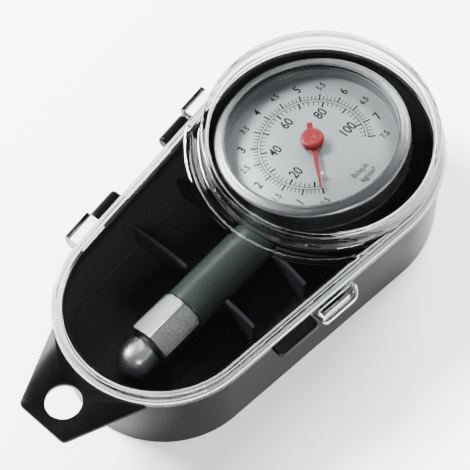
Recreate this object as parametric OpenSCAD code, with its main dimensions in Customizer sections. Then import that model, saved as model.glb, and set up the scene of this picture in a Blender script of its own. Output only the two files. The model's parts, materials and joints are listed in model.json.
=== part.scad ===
// Dial tyre pressure gauge lying in its hinged carrying case.
// Millimetres. The origin is on the case's underside, below the centre of the round gauge end.
// +Z is up, -Y runs to the hang tab, -X is the hinge side and +X the latch side.

/* [Case] */
// Radius of the lid's flange round the gauge end
head_r = 33.2; // [32:0.1:40]
// Radius of the lid's flange round the tab end
tail_r = 28.0; // [24:0.1:31]
// Distance between the centres of the two round ends
centre_gap = 61.2; // [58:0.1:80]
// Height of the tray
tray_h = 25.6; // [24:0.1:32]
// Thickness of the tray's side wall
tray_wall = 1.8; // [1.4:0.1:2.4]
// Thickness of the tray's floor
floor_t = 1.8; // [1.2:0.1:2.4]
// How far the lid's flange stands out past the tray's wall
flange_over = 1.0; // [0.6:0.1:1.4]
// Height of the locating rim inside the lid
rim_h = 1.6; // [0.8:0.1:1.8]
// Thickness of the locating rim
rim_t = 0.8; // [0.6:0.1:1.2]

/* [Lid] */
// Height of the lid from its flange to its flat top
lid_h = 4.4; // [4:0.1:6]
// Thickness of the lid's flange
flange_t = 1.5; // [1:0.1:2]
// How far the lid's wall stands back from the flange's edge
wall_back = 1.2; // [0.8:0.1:1.6]
// Thickness of the clear lid
lid_t = 1.4; // [1:0.1:1.6]
// Outer radius of the round cup over the dial
cup_r = 31.5; // [30.8:0.1:31.8]
// Height of the cup above the flat top
cup_h = 6.0; // [5.6:0.1:9]
// Radius that rounds the cup's top edge
cup_edge = 0.8; // [0.8:0.1:2.4]

/* [Hang tab] */
// Length of the tab past the tray's wall
tab_len = 16.4; // [14:0.1:22]
// Thickness of the tab
tab_t = 1.6; // [1.2:0.1:2.4]
// Half the tab's width at its end
tab_end_half = 8.2; // [7:0.1:11]
// Half the tab's width where it leaves the tray
tab_root_half = 16.2; // [14:0.1:20]
// Radius of the hang hole
hang_r = 4.75; // [3:0.05:5.5]
// Distance from the tab's end to the hang hole's centre
hang_in = 7.9; // [7.4:0.1:9]

/* [Hinge and latch] */
// Radius of the hinge barrels
barrel_r = 2.1; // [1.8:0.05:2.3]
// Radius of the hinge's stub pins
hinge_pin_r = 1.0; // [0.8:0.05:1.2]
// Running clearance round every pin and arbor
run_gap = 0.05; // [0.03:0.01:0.08]
// Length of each black hinge lug on the tray
lug_len = 9.8; // [8:0.1:11]
// Length of each clear knuckle on the lid
knuckle_len = 8.8; // [7:0.1:9]
// Half the distance between the two hinge lugs
lug_half_gap = 9.6; // [8:0.1:10]
// Length of the black thumb lug, and of the clear thumb tab beside it
thumb_len = 13.2; // [10:0.1:15]
// How far the thumb lug stands out past the flange
thumb_lug_out = 3.1; // [2:0.1:4]
// How far the clear thumb tab stands out past the flange
thumb_tab_out = 4.8; // [4:0.1:6]

/* [Gauge head] */
// Outer radius of the metal bezel
bezel_r = 26.2; // [26:0.1:27]
// Radius of the bezel's opening
window_open_r = 23.1; // [22:0.1:23.3]
// Outer radius of the black shell
shell_r = 24.4; // [24.2:0.1:24.8]
// Wall of the shell
shell_t = 1.1; // [0.8:0.1:1.3]
// Height of the dial's face above the stem's axis
dial_z = 16.2; // [16:0.1:17]
// Thickness of the window
window_t = 1.2; // [0.8:0.1:1.4]
// How far the gauge leans towards the hinge, about its stem
lean = 9.3; // [0:0.1:10]
// Height of the stem's axis above the case's underside
stem_z = 9.4; // [9.3:0.1:12]

/* [Stem and chuck] */
// Radius of the black stem sleeve
sleeve_r = 6.5; // [5:0.1:6.6]
// Distance from the head's axis to the ferrule
ferrule_from = 54.4; // [48:0.1:60]
// Length of the hexagonal ferrule
ferrule_len = 13.0; // [10:0.1:15]
// Radius over the corners of the ferrule
ferrule_r = 7.0; // [6:0.1:7.2]
// Radius of the ball nose
nose_r = 5.1; // [4.8:0.1:5.6]
// Length of the nose's straight part
nose_straight = 3.6; // [3:0.1:5]
// Radius of the valve mouth
mouth_r = 4.0; // [3.9:0.05:4.1]
// Angle of the valve mouth below the stem's axis
mouth_turn = 60; // [45:1:75]
// Radius of the metal stem tube
tube_r = 2.0; // [1.6:0.05:2.1]

/* [Pointer] */
// Length of the pointer from its axis to its tip
pointer_len = 16.0; // [12:0.1:18]
// Length of the pointer's tail
pointer_tail = 5.9; // [3:0.1:7]
// Radius of the pointer's round cap
pointer_cap_r = 3.2; // [2:0.05:3.2]
// Direction in which the pointer rests
pointer_start = -40; // [-60:1:-30]

/* [Movement] */
// Gear module
gear_m = 0.3; // [0.28:0.005:0.31]
// Teeth of the pinion
pinion_teeth = 12; // [12:1:12]
// Teeth of the full circle that the sector is cut from
sector_teeth = 72; // [72:1:72]
// Swing of the sector for the pointer's full sweep
sector_swing = 45; // [30:1:45]
// Reach of the sector's tail
tail_len = 5.0; // [4:0.1:5.2]
// Mean radius of the Bourdon tube's curl
bourdon_r = 18.6; // [18:0.1:19.2]

/* [Hidden] */

$fn = 64;
arc_steps = 40;          // straight stretches in each round end of an outline
gap = 0.3;               // air between pieces that move past each other
snug = 0.1;              // air between pieces that sit in each other
over = 1;                // how far a cutter runs past what it cuts

side_turn = asin((head_r - tail_r) / centre_gap);
side_len = centre_gap * cos(side_turn);
wall_out = -flange_over;                       // tray wall's outer face, from the flange's edge
wall_in = wall_out - tray_wall;
lid_in = -wall_back - lid_t;                   // lid wall's inner face
rim_out = lid_in - gap;
lid_top = tray_h + lid_h;
cup_top = lid_top + cup_h;
tail_y = -centre_gap;
tab_end_y = tail_y - tail_r + flange_over - tab_len;
hang_y = tab_end_y + hang_in;
tab_corner = 1.6;

hinge_out = 1.9;                               // hinge axis, outwards from the flange's edge
hinge_z = tray_h - 2.0;
hinge_mid = side_len * 0.53;
pin_len = 3.0;
thumb_mid = side_len * 0.57;
catch_out = 1.3;
catch_t = 1.0;
catch_drop = 2.6;
nib_h = 1.6;

rib_t = 1.1;
rib_top = 13.0;
rib_y = [-46.2, -28.2];                        // the two pairs of ribs beside the stem
rib_near = 7.4;                                // clear half width for the stem
rib_latch_end = [18.0, 19.8];
ring_wall_r = 27.0;                            // low round wall about the gauge head
ring_wall_t = 1.3;
ring_wall_top = 14.0;
gusset_turn = -44;
gusset_len = 2.6;
pad_half = 9.4;
pad_from = -55.6;
pad_to = -69.4;
pad_h = 0.4;
pad_cut = 2.2;
mark_r = 2.9;
mark_h = 0.2;
mark_at = [[-20.3, -39.4], [-18.4, -58.6], [20.3, -39.4], [18.4, -58.6]];

lip_t = 0.4;
lip_under = dial_z + 4.75;
bezel_low = lip_under - 7.35;
shell_in = shell_r - shell_t;
shell_top = lip_under - 2.25;
shell_back = -5.6;
window_r = shell_r;
gasket_t = 0.8;
dial_t = 0.4;
dial_r = shell_in - 0.5;
dial_bore = 2.6;
ledge_in = dial_r - 1.2;
ledge_t = 0.8;

collar_z = dial_z + 0.5;
collar_h = 0.9;
blade_z = collar_z + collar_h;
blade_t = 0.4;
cap_h = 1.4;
collar_r = 2.3;
stop_r = 0.45;
stop_at = 11.5;
arbor_r = 0.6;
pivot_r = 0.35;

pinion_pitch = gear_m * pinion_teeth / 2;
sector_pitch = gear_m * sector_teeth / 2;
gear_gap = pinion_pitch + sector_pitch;
sector_at = [0, -gear_gap];
tail_turn = -90 - sector_swing / 2;
tail_arm = tail_len * [cos(tail_turn), sin(tail_turn)];
tail_side = [cos(tail_turn - 90), sin(tail_turn - 90)];
tail_at = sector_at + tail_arm;
tail_travel = 2 * tail_len * sin(sector_swing / 2);
tail_dip = tail_len * (1 - cos(sector_swing / 2));
addendum = 0.7 * gear_m;
dedendum = 0.95 * gear_m;
pressure = 20;
thinning = 0.06;                               // taken off each tooth for backlash
teeth_beyond = 2;                              // spare sector teeth past each end of the mesh

plate_t = 1.0;
plate_z = 8.0;
plate_gap = 4.0;
upper_z = plate_z + plate_t + plate_gap;
plate_half = 7.2;
plate_y = [-21.5, 5.5];
pillar_r = 1.0;
pillar_at = [[-4.5, 3.5], [4.5, 3.5], [-6, -18.4], [6, -19.2]];
screw_head_r = 1.0;
screw_head_h = 0.7;
block_screw_at = [[-2.6, -20.0], [2.6, -20.0]];
block_screw_r = 0.7;
gear_z = plate_z + plate_t + 1.2;
gear_t = 0.8;
pinion_z = plate_z + plate_t + 0.5;
pinion_t = 2.0;
hub_r = 2.0;
sector_bore = 0.9;
link_z = gear_z + gear_t + 0.2;
link_t = 0.5;
link_half = 0.9;
tail_pin_r = 0.5;
spring_z = link_z + 0.6;
spring_t = 0.6;
spring_w = 0.16;
spring_from = 1.3;
spring_to = 4.4;
spring_turns = 4;
spring_steps = 20;

block_half = 5.0;
block_y = [-22.0, -10.0];
block_low = -2.2;
bourdon_w = 2.2;
bourdon_h = 6.0;
bourdon_z = 3.6;
bourdon_wall = 0.3;
bourdon_free = -35;                            // angle of the tube's free end
bourdon_root = 258;
tip_len = 3.4;
tip_w = 3.2;
tip_pin_r = 0.5;
tip_turn = bourdon_free - tip_len / 2 / bourdon_r * 180 / PI;
tip_at = bourdon_r * [cos(tip_turn), sin(tip_turn)];

tube_bore = 0.8;
tube_from = 18.6;
sleeve_from = 25.0;
neck_r = 3.6;
neck_len = 1.3;
ferrule_to = ferrule_from + ferrule_len;
nose_from = ferrule_to + neck_len;
ball_y = -(nose_from + nose_straight);
tube_to = nose_from + 0.9;
ferrule_turn = 45;
mouth_in = 0.7;                                // the mouth's bottom, from the ball's centre
seal_t = 0.8;
seal_bore = 1.6;
spider_t = 0.4;
depressor_r = 0.8;
depressor_len = spider_t + seal_t;

// ---------------------------------------------------------------- shared shapes

// Points of an arc of radius r about c, from angle a to angle b.
function arc(c, r, a, b, n) = [for (i = [0:n]) let (t = a + (b - a) * i / n) c + r * [cos(t), sin(t)]];

// The case's outline, d outwards from the lid flange's edge.
function outline(d) = concat(
    arc([0, 0], head_r + d, -side_turn, 180 + side_turn, arc_steps),
    arc([0, tail_y], tail_r + d, 180 + side_turn, 360 - side_turn, arc_steps));

module slab(d, z0, z1) {
    translate([0, 0, z0]) linear_extrude(z1 - z0) polygon(outline(d));
}

module wall(d_out, d_in, z0, z1) {
    difference() {
        slab(d_out, z0, z1);
        slab(d_in, z0 - over, z1 + over);
    }
}

// On the straight hinge side: +X outwards from the flange's edge, +Y towards the tab.
module on_hinge_side() {
    rotate([0, 0, 180 + side_turn]) translate([head_r, 0, 0]) children();
}

module on_latch_side() {
    mirror([1, 0, 0]) on_hinge_side() children();
}

module block_from(x, y, z) {
    translate([x[0], y[0], z[0]]) cube([x[1] - x[0], y[1] - y[0], z[1] - z[0]]);
}

// The gauge's own frame: +Z out of the dial, -Y down the stem.
module in_gauge() {
    translate([0, 0, stem_z]) rotate([0, -lean, 0]) children();
}

// A bar or bore along the stem from distance a to distance b.
module along_stem(r, a, b) {
    translate([0, -a, 0]) rotate([90, 0, 0]) cylinder(r = r, h = b - a);
}

module disc(r, z0, z1) {
    translate([0, 0, z0]) cylinder(r = r, h = z1 - z0);
}

module disc_at(p, r, z0, z1) {
    translate([p[0], p[1], 0]) disc(r, z0, z1);
}

// ---------------------------------------------------------------- gear teeth

function involute(a) = tan(a) * 180 / PI - a;

// Half the angle that a tooth takes at radius rho.
function half_tooth(teeth, rho) =
    let (pitch = gear_m * teeth / 2, base = pitch * cos(pressure))
    90 / teeth - thinning / 2 / pitch * 180 / PI + involute(pressure)
    - involute(acos(min(1, base / max(rho, base))));

// One tooth about direction mid, from root to tip and back.
function tooth(teeth, mid) =
    let (pitch = gear_m * teeth / 2, root = pitch - dedendum, tip = pitch + addendum, n = 4,
         low = max(root, pitch * cos(pressure)))
    concat(
        [root * [cos(mid - half_tooth(teeth, low)), sin(mid - half_tooth(teeth, low))]],
        [for (i = [0:n]) let (rho = low + (tip - low) * i / n, h = half_tooth(teeth, rho))
            rho * [cos(mid - h), sin(mid - h)]],
        [for (i = [n:-1:0]) let (rho = low + (tip - low) * i / n, h = half_tooth(teeth, rho))
            rho * [cos(mid + h), sin(mid + h)]],
        [root * [cos(mid + half_tooth(teeth, low)), sin(mid + half_tooth(teeth, low))]]);

// ---------------------------------------------------------------- case

module tab_plate() {
    r = tab_corner;
    root_y = tail_y - tail_r + 4.6;
    slope = atan((tab_root_half - tab_end_half) / (root_y - tab_end_y));
    corner = arc([tab_end_half - r, tab_end_y + r], r, -90, -slope, 8);
    in_half = tab_root_half + 8 * tan(slope);
    polygon(concat(corner, [[in_half, root_y + 8], [-in_half, root_y + 8]],
                   [for (i = [8:-1:0]) [-corner[i][0], corner[i][1]]]));
}

module hinge_lugs() {
    for (s = [-1, 1]) on_hinge_side() translate([0, hinge_mid + s * (lug_half_gap + lug_len / 2), 0]) {
        translate([hinge_out, lug_len / 2, hinge_z]) rotate([90, 0, 0])
            cylinder(r = barrel_r, h = lug_len);
        block_from([wall_out - 0.4, hinge_out], [-lug_len / 2, lug_len / 2],
                   [hinge_z - barrel_r, hinge_z + barrel_r * 0.8]);
    }
}

module hinge_bores() {
    reach = pin_len + gap;
    for (s = [-1, 1]) on_hinge_side()
        translate([hinge_out, hinge_mid + s * (lug_half_gap + lug_len - reach / 2 + over / 2), hinge_z])
            rotate([90, 0, 0]) cylinder(r = hinge_pin_r + run_gap, h = reach + over, center = true);
}

module thumb_lug() {
    z = [tray_h - 2.9, tray_h - 0.2];
    end_r = 1.4;
    on_latch_side() translate([0, thumb_mid + gap / 2, 0]) intersection() {
        block_from([wall_out - 0.4, thumb_lug_out], [0, thumb_len], z);
        translate([0, 0, z[0] - over]) linear_extrude(z[1] - z[0] + 2 * over) polygon(concat(
            [[-over - flange_over, 0]], arc([thumb_lug_out - end_r, end_r], end_r, -90, 0, 6),
            arc([thumb_lug_out - end_r, thumb_len - end_r], end_r, 0, 90, 6),
            [[-over - flange_over, thumb_len]]));
        translate([0, thumb_len + over, 0]) rotate([90, 0, 0]) linear_extrude(thumb_len + 2 * over)
            polygon([[-over - flange_over, z[0] - over], [thumb_lug_out, z[0] - over],
                     [thumb_lug_out, z[1] - 1.3], [thumb_lug_out - 1.4, z[1]], [-over - flange_over, z[1]]]);
    }
}

module latch_nib() {
    on_latch_side() block_from([wall_out - 0.4, catch_out - 0.15],
        [thumb_mid - thumb_len * 0.8, thumb_mid - thumb_len * 0.25],
        [tray_h - catch_drop + 0.3, tray_h - catch_drop + 0.3 + nib_h]);
}

module ribs() {
    for (i = [0, 1]) {
        translate([-head_r, rib_y[i] - rib_t / 2, 0]) cube([head_r - rib_near, rib_t, rib_top]);
        translate([rib_near, rib_y[i] - rib_t / 2, 0])
            cube([rib_latch_end[i] - rib_near, rib_t, rib_top]);
    }
}

module ring_wall() {
    difference() {
        disc(ring_wall_r + ring_wall_t, 0, ring_wall_top);
        disc(ring_wall_r, -over, ring_wall_top + over);
        block_from([-rib_near, rib_near], [-head_r, 0], [-over, ring_wall_top + over]);
        block_from([-head_r, head_r], [-ring_wall_r * 0.42, head_r], [-over, ring_wall_top + over]);
    }
    rotate([0, 0, gusset_turn]) translate([0, rib_t / 2, 0]) rotate([90, 0, 0]) linear_extrude(rib_t)
        polygon([[ring_wall_r + 0.3, 0], [ring_wall_r + ring_wall_t + gusset_len, 0],
                 [ring_wall_r + 0.3, ring_wall_top]]);
}

module floor_pad() {
    linear_extrude(floor_t + pad_h) polygon([
        [-pad_half, pad_from], [pad_half, pad_from], [pad_half, pad_to + pad_cut * 0.6],
        [pad_half - pad_cut, pad_to], [-pad_half + pad_cut, pad_to], [-pad_half, pad_to + pad_cut * 0.6]]);
}

module case_tray() {
    color([0.045, 0.045, 0.05]) difference() {
        union() {
            slab(wall_out, 0, floor_t);
            wall(wall_out, wall_in, 0, tray_h);
            wall(rim_out, rim_out - rim_t, tray_h - 3, tray_h + rim_h);
            wall(wall_out - 0.2, rim_out - rim_t, tray_h - 3, tray_h - 0.2);
            intersection() {
                union() {
                    ribs();
                    ring_wall();
                    floor_pad();
                    for (p = mark_at) disc_at(p, mark_r, 0, floor_t + mark_h);
                }
                slab(wall_out - 0.2, 0, tray_h);
            }
            difference() {
                translate([0, 0, tray_h - tab_t]) linear_extrude(tab_t) tab_plate();
                slab(wall_out - 0.4, 0, tray_h + over);
            }
            hinge_lugs();
            thumb_lug();
            latch_nib();
        }
        hinge_bores();
        disc_at([0, hang_y], hang_r, tray_h - tab_t - over, tray_h + over);
    }
}

module knuckles() {
    for (s = [-1, 1]) on_hinge_side()
        translate([hinge_out, hinge_mid + s * (lug_half_gap + lug_len + gap + knuckle_len / 2), hinge_z]) {
            translate([0, knuckle_len / 2, 0]) rotate([90, 0, 0]) cylinder(r = barrel_r, h = knuckle_len);
            block_from([-barrel_r + 0.15, barrel_r - 0.15], [-knuckle_len / 2, knuckle_len / 2],
                       [0, tray_h + flange_t - hinge_z]);
            block_from([-hinge_out - 0.6, 0], [-knuckle_len / 2, knuckle_len / 2],
                       [tray_h - hinge_z, tray_h + flange_t - hinge_z]);
            translate([0, -s * (knuckle_len / 2 + (pin_len + gap) / 2), 0]) rotate([90, 0, 0])
                cylinder(r = hinge_pin_r, h = pin_len + gap, center = true);
        }
}

module thumb_tab() {
    corner = 3.4;
    low = thumb_mid - gap / 2 - thumb_len;
    on_latch_side() {
        difference() {
            translate([0, 0, tray_h]) linear_extrude(flange_t) polygon(concat(
                [[-0.6, low]], arc([thumb_tab_out - corner, low + corner], corner, -90, 0, 8),
                arc([thumb_tab_out - 1.2, low + thumb_len - 1.2], 1.2, 0, 90, 4), [[-0.6, low + thumb_len]]));
            block_from([0.7, thumb_tab_out - 0.9], [low + 1.4, low + thumb_len - 1.0],
                       [tray_h + flange_t - 0.5, tray_h + flange_t + over]);
        }
        block_from([catch_out, catch_out + catch_t], [low + 2.2, low + thumb_len - 2.2],
                   [tray_h - catch_drop, tray_h + 0.2]);
    }
}

module cup() {
    edge = arc([cup_r - cup_edge, cup_top - cup_edge], cup_edge, 0, 90, 8);
    inner = arc([cup_r - lid_t - cup_edge / 2, cup_top - lid_t + 0.1 - cup_edge / 2], cup_edge / 2, 90, 0, 5);
    rotate_extrude($fn = 96) polygon(concat([[0, cup_top - lid_t + 0.1]], inner,
        [[cup_r - lid_t, lid_top - lid_t], [cup_r, lid_top - lid_t]], edge, [[0, cup_top]]));
}

module clear_lid() {
    color([0.86, 0.9, 0.92, 0.35]) union() {
        wall(0, lid_in, tray_h, tray_h + flange_t);
        wall(-wall_back, lid_in, tray_h + flange_t - 0.2, lid_top - 0.5);
        difference() {
            union() {
                slab(-wall_back, lid_top - lid_t, lid_top - 0.5);
                slab(-wall_back - 0.5, lid_top - lid_t, lid_top);
            }
            disc(cup_r - lid_t, lid_top - lid_t - over, lid_top + over);
        }
        cup();
        knuckles();
        thumb_tab();
    }
}

// ---------------------------------------------------------------- gauge head

module gauge_shell() {
    color([0.03, 0.03, 0.035]) in_gauge() difference() {
        rotate_extrude($fn = 96) polygon([
            [0, shell_back], [12, shell_back], [shell_r - 1, shell_back + 2], [shell_r, shell_back + 3],
            [shell_r, shell_top], [shell_in, shell_top], [shell_in, dial_z - dial_t],
            [ledge_in, dial_z - dial_t], [ledge_in, dial_z - dial_t - ledge_t],
            [shell_in, dial_z - dial_t - 2 * ledge_t], [shell_in, shell_back + 3.7],
            [shell_in - 0.4, shell_back + 3.15], [12, shell_back + shell_t], [0, shell_back + shell_t]]);
        along_stem(tube_r + snug, shell_in - 4, shell_r + over);
    }
}

module bezel_ring() {
    color([0.72, 0.73, 0.74]) in_gauge() rotate_extrude($fn = 96) polygon([
        [window_open_r, lip_under], [window_open_r, lip_under + lip_t],
        [window_open_r + 0.5, lip_under + lip_t], [bezel_r - 1.0, lip_under - 0.05],
        [bezel_r - 0.25, lip_under - 0.65], [bezel_r, lip_under - 1.35],
        [bezel_r, bezel_low + 0.5], [bezel_r - 0.3, bezel_low], [shell_r + 0.15, bezel_low],
        [shell_r + 0.15, bezel_low + 0.8], [shell_r + 0.3, bezel_low + 1.1], [shell_r + 0.3, lip_under]]);
}

module window() {
    top = lip_under - snug / 2;
    color([0.9, 0.95, 0.95, 0.25]) in_gauge() disc(window_r, top - window_t, top);
}

module window_gasket() {
    z = shell_top + snug / 2;
    color([0.05, 0.05, 0.05]) in_gauge() difference() {
        disc(shell_r - 0.1, z, z + gasket_t);
        disc(shell_in - 0.4, z - over, z + gasket_t + over);
    }
}

module dial_plate() {
    color([0.8, 0.81, 0.82]) in_gauge() difference() {
        disc(dial_r, dial_z - dial_t, dial_z);
        disc(dial_bore, dial_z - dial_t - over, dial_z + over);
    }
}

module stop_pin() {
    turn = pointer_start + asin((stop_r + 0.55) / stop_at);
    color([0.85, 0.85, 0.82]) in_gauge()
        disc_at(stop_at * [cos(turn), sin(turn)], stop_r, dial_z, dial_z + 2.2);
}

// ---------------------------------------------------------------- pointer and its arbor

module pointer() {
    color([0.75, 0.12, 0.16]) in_gauge() rotate([0, 0, pointer_start]) difference() {
        translate([0, 0, blade_z]) linear_extrude(blade_t) union() {
            polygon([[-pointer_tail, -0.85], [0, -0.95], [pointer_len - 0.4, -0.22], [pointer_len, 0],
                     [pointer_len - 0.4, 0.22], [0, 0.95], [-pointer_tail, 0.85]]);
            circle(r = pointer_cap_r - 0.4);
        }
        disc(arbor_r, blade_z - over, blade_z + blade_t + over);
    }
}

module pointer_cap() {
    z = blade_z + blade_t;
    color([0.8, 0.15, 0.18]) in_gauge() rotate_extrude() polygon(concat(
        [[0, z], [pointer_cap_r, z]],
        arc([pointer_cap_r - 0.7, z + cap_h - 0.7], 0.7, 0, 90, 6),
        [[0, z + cap_h]]));
}

module pointer_collar() {
    color([0.12, 0.1, 0.1]) in_gauge() difference() {
        disc(collar_r, collar_z, blade_z);
        disc(arbor_r, collar_z - over, blade_z + over);
    }
}

module pinion_arbor() {
    color([0.75, 0.65, 0.35]) in_gauge() union() {
        disc(pivot_r, plate_z + 0.1, plate_z + plate_t + 0.2);
        disc(arbor_r, plate_z + plate_t + 0.1, blade_z + blade_t);
        translate([0, 0, pinion_z]) linear_extrude(pinion_t)
            polygon([for (i = [0:pinion_teeth - 1]) each
                tooth(pinion_teeth, 270 + (i + 0.5) * 360 / pinion_teeth)]);
    }
}

// Width-w strip that winds outwards from spring_from to spring_to.
module hairspring() {
    n = spring_turns * spring_steps;
    edge = function (d) [for (i = [0:n]) let (t = 360 * i / spring_steps + 142,
        r = spring_from + (spring_to - spring_from) * i / n + d) r * [cos(t), sin(t)]];
    inside = edge(-spring_w / 2);
    outside = edge(spring_w / 2);
    color([0.55, 0.6, 0.7]) in_gauge() translate([0, 0, spring_z]) linear_extrude(spring_t)
        polygon(concat(outside, [for (i = [n:-1:0]) inside[i]]));
}

// ---------------------------------------------------------------- sector and link

module sector_gear() {
    pitch_turn = 360 / sector_teeth;
    first = -ceil(sector_swing / pitch_turn) - teeth_beyond;
    teeth = [for (i = [first:teeth_beyond]) each tooth(sector_teeth, 90 + i * pitch_turn)];
    rim = sector_pitch - dedendum;
    mid = 90 + (first + teeth_beyond) / 2 * pitch_turn;
    color([0.78, 0.66, 0.33]) in_gauge() translate([sector_at[0], sector_at[1], 0]) difference() {
        union() {
            translate([0, 0, gear_z]) linear_extrude(gear_t) {
                polygon(concat([[0, 0]], teeth));
                polygon([1.2 * tail_side, tail_arm + 0.9 * tail_side, tail_arm - 0.9 * tail_side,
                         -1.2 * tail_side]);
                translate(tail_arm) circle(r = 1.2);
            }
            disc(hub_r, gear_z - 0.8, gear_z + gear_t + 0.8);
        }
        disc(sector_bore, gear_z - 2, gear_z + gear_t + 2);
        disc_at(tail_arm, tail_pin_r, gear_z - over, gear_z + gear_t + over);
        rotate([0, 0, mid]) translate([rim * 0.62, 0, 0])
            disc(rim * 0.16, gear_z - over, gear_z + gear_t + over);
    }
}

module sector_arbor() {
    color([0.7, 0.7, 0.72]) in_gauge() translate([sector_at[0], sector_at[1], 0]) union() {
        disc(0.5, plate_z + 0.1, upper_z + plate_t - 0.1);
        disc(sector_bore, plate_z + plate_t + 0.2, upper_z - 0.2);
    }
}

module tail_pin() {
    color([0.7, 0.7, 0.72]) in_gauge() disc_at(tail_at, tail_pin_r, gear_z, link_z + link_t + 0.2);
}

module link() {
    end_low = tip_at[0] - tail_travel - 1.5;
    end_high = tip_at[0] + 1.5;
    aim = tip_at + [-tail_travel / 2, 0.2] - tail_at;
    side = link_half * [-aim[1], aim[0]] / norm(aim);
    color([0.7, 0.7, 0.72]) in_gauge() translate([0, 0, link_z]) linear_extrude(link_t) difference() {
        union() {
            translate(tail_at) circle(r = 1.3);
            polygon([tail_at + side, tail_at - side, tail_at + aim - side, tail_at + aim + side]);
            intersection() {
                translate([end_low, tip_at[1] - 1.5]) square([end_high - end_low, 3.0 + tail_dip]);
                translate([-tail_travel, 0]) circle(r = shell_in - 0.25);
            }
        }
        translate(tail_at) circle(r = tail_pin_r + run_gap);
        translate([end_low + 0.75, tip_at[1] - 0.75])
            square([end_high - end_low - 1.5, 1.5 + tail_dip]);
    }
}

// ---------------------------------------------------------------- movement frame

module plate(z, hole_pinion, hole_sector) {
    difference() {
        block_from([-plate_half, plate_half], plate_y, [z, z + plate_t]);
        disc(hole_pinion, z - over, z + plate_t + over);
        disc_at(sector_at, hole_sector, z - over, z + plate_t + over);
        for (p = pillar_at) disc_at(p, 0.55, z - over, z + plate_t + over);
        if (z == plate_z) for (p = block_screw_at) disc_at(p, block_screw_r, z - over, z + plate_t + over);
    }
}

module lower_plate() {
    color([0.8, 0.68, 0.36]) in_gauge() plate(plate_z, pivot_r + run_gap, 0.5 + run_gap);
}

module upper_plate() {
    color([0.8, 0.68, 0.36]) in_gauge() plate(upper_z, arbor_r + run_gap, 0.5 + run_gap);
}

module plate_pillars() {
    color([0.8, 0.68, 0.36]) in_gauge() for (p = pillar_at) union() {
        disc_at(p, pillar_r, plate_z + plate_t, upper_z);
        disc_at(p, 0.55, plate_z, plate_z + plate_t + 0.2);
    }
}

module plate_screws() {
    color([0.6, 0.6, 0.62]) in_gauge() for (p = pillar_at) difference() {
        union() {
            disc_at(p, screw_head_r, upper_z + plate_t, upper_z + plate_t + screw_head_h);
            disc_at(p, 0.55, upper_z, upper_z + plate_t + 0.2);
        }
        translate([p[0], p[1], upper_z + plate_t + screw_head_h]) cube([3, 0.3, 0.5], center = true);
    }
}

module block_screws() {
    color([0.6, 0.6, 0.62]) in_gauge() for (p = block_screw_at) difference() {
        union() {
            disc_at(p, screw_head_r, plate_z + plate_t, plate_z + plate_t + screw_head_h);
            disc_at(p, block_screw_r, plate_z - 3, plate_z + plate_t + 0.2);
        }
        translate([p[0], p[1], plate_z + plate_t + screw_head_h]) cube([3, 0.3, 0.5], center = true);
    }
}

// ---------------------------------------------------------------- pressure path

// The flattened tube's section, grown by d.
function tube_section(d) =
    let (w = bourdon_w / 2 + d, h = bourdon_h / 2 + d, c = 0.7)
    [[bourdon_r - w, bourdon_z - h + c], [bourdon_r - w + c, bourdon_z - h],
     [bourdon_r + w - c, bourdon_z - h], [bourdon_r + w, bourdon_z - h + c],
     [bourdon_r + w, bourdon_z + h - c], [bourdon_r + w - c, bourdon_z + h],
     [bourdon_r - w + c, bourdon_z + h], [bourdon_r - w, bourdon_z + h - c]];

module socket_block() {
    color([0.8, 0.68, 0.36]) in_gauge() difference() {
        block_from([-block_half, block_half], block_y, [block_low, plate_z]);
        along_stem(tube_r, tube_from, shell_r);
        along_stem(tube_bore, tube_from - 2, tube_from + over);
        disc_at([0, -tube_from + 1.1], 0.7, 0, bourdon_z - 0.8);
        translate([0, -tube_from + 1.1, bourdon_z - 0.8]) rotate([0, -90, 0])
            cylinder(r = 0.7, h = block_half);
        rotate([0, 0, bourdon_root - 20]) rotate_extrude(angle = 20.4, $fn = 96) polygon(tube_section(0.05));
        for (p = block_screw_at) disc_at(p, block_screw_r, plate_z - 3, plate_z + over);
    }
}

module bourdon_tube() {
    color([0.8, 0.6, 0.3]) in_gauge() rotate([0, 0, bourdon_free])
        rotate_extrude(angle = bourdon_root - bourdon_free, $fn = 96) difference() {
            polygon(tube_section(0));
            polygon(tube_section(-bourdon_wall));
        }
}

module tube_tip() {
    color([0.8, 0.68, 0.36]) in_gauge() union() {
        rotate([0, 0, bourdon_free]) block_from([bourdon_r - tip_w / 2, bourdon_r + tip_w / 2],
            [-tip_len, 0], [bourdon_z - 3.2, bourdon_z + 3.2]);
        disc_at(tip_at, tip_pin_r, bourdon_z + 3, link_z + link_t + 0.6);
    }
}

module stem_tube() {
    color([0.75, 0.7, 0.5]) in_gauge() difference() {
        along_stem(tube_r, tube_from, tube_to);
        along_stem(tube_bore, tube_from - over, tube_to + over);
    }
}

module stem_sleeve() {
    color([0.06, 0.075, 0.07]) in_gauge() difference() {
        along_stem(sleeve_r, sleeve_from, ferrule_from);
        along_stem(tube_r + run_gap, sleeve_from - over, ferrule_from + over);
    }
}

module ferrule() {
    chamfer = ferrule_r * 0.14;
    color([0.7, 0.71, 0.7]) in_gauge() difference() {
        intersection() {
            translate([0, -ferrule_from, 0]) rotate([90, 0, 0]) rotate([0, 0, -ferrule_turn])
                cylinder(r = ferrule_r, h = ferrule_len, $fn = 6);
            translate([0, -ferrule_from, 0]) rotate([90, 0, 0]) rotate_extrude($fn = 96) polygon([
                [0, 0], [ferrule_r - chamfer, 0], [ferrule_r + over, (chamfer + over) * 0.6],
                [ferrule_r + over, ferrule_len + over], [0, ferrule_len + over]]);
        }
        along_stem(tube_r + run_gap, ferrule_from - over, ferrule_to + over);
    }
}

module chuck_neck() {
    color([0.05, 0.05, 0.05]) in_gauge() difference() {
        along_stem(neck_r, ferrule_to, nose_from);
        along_stem(tube_r + run_gap, ferrule_to - over, nose_from + over);
    }
}

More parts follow.
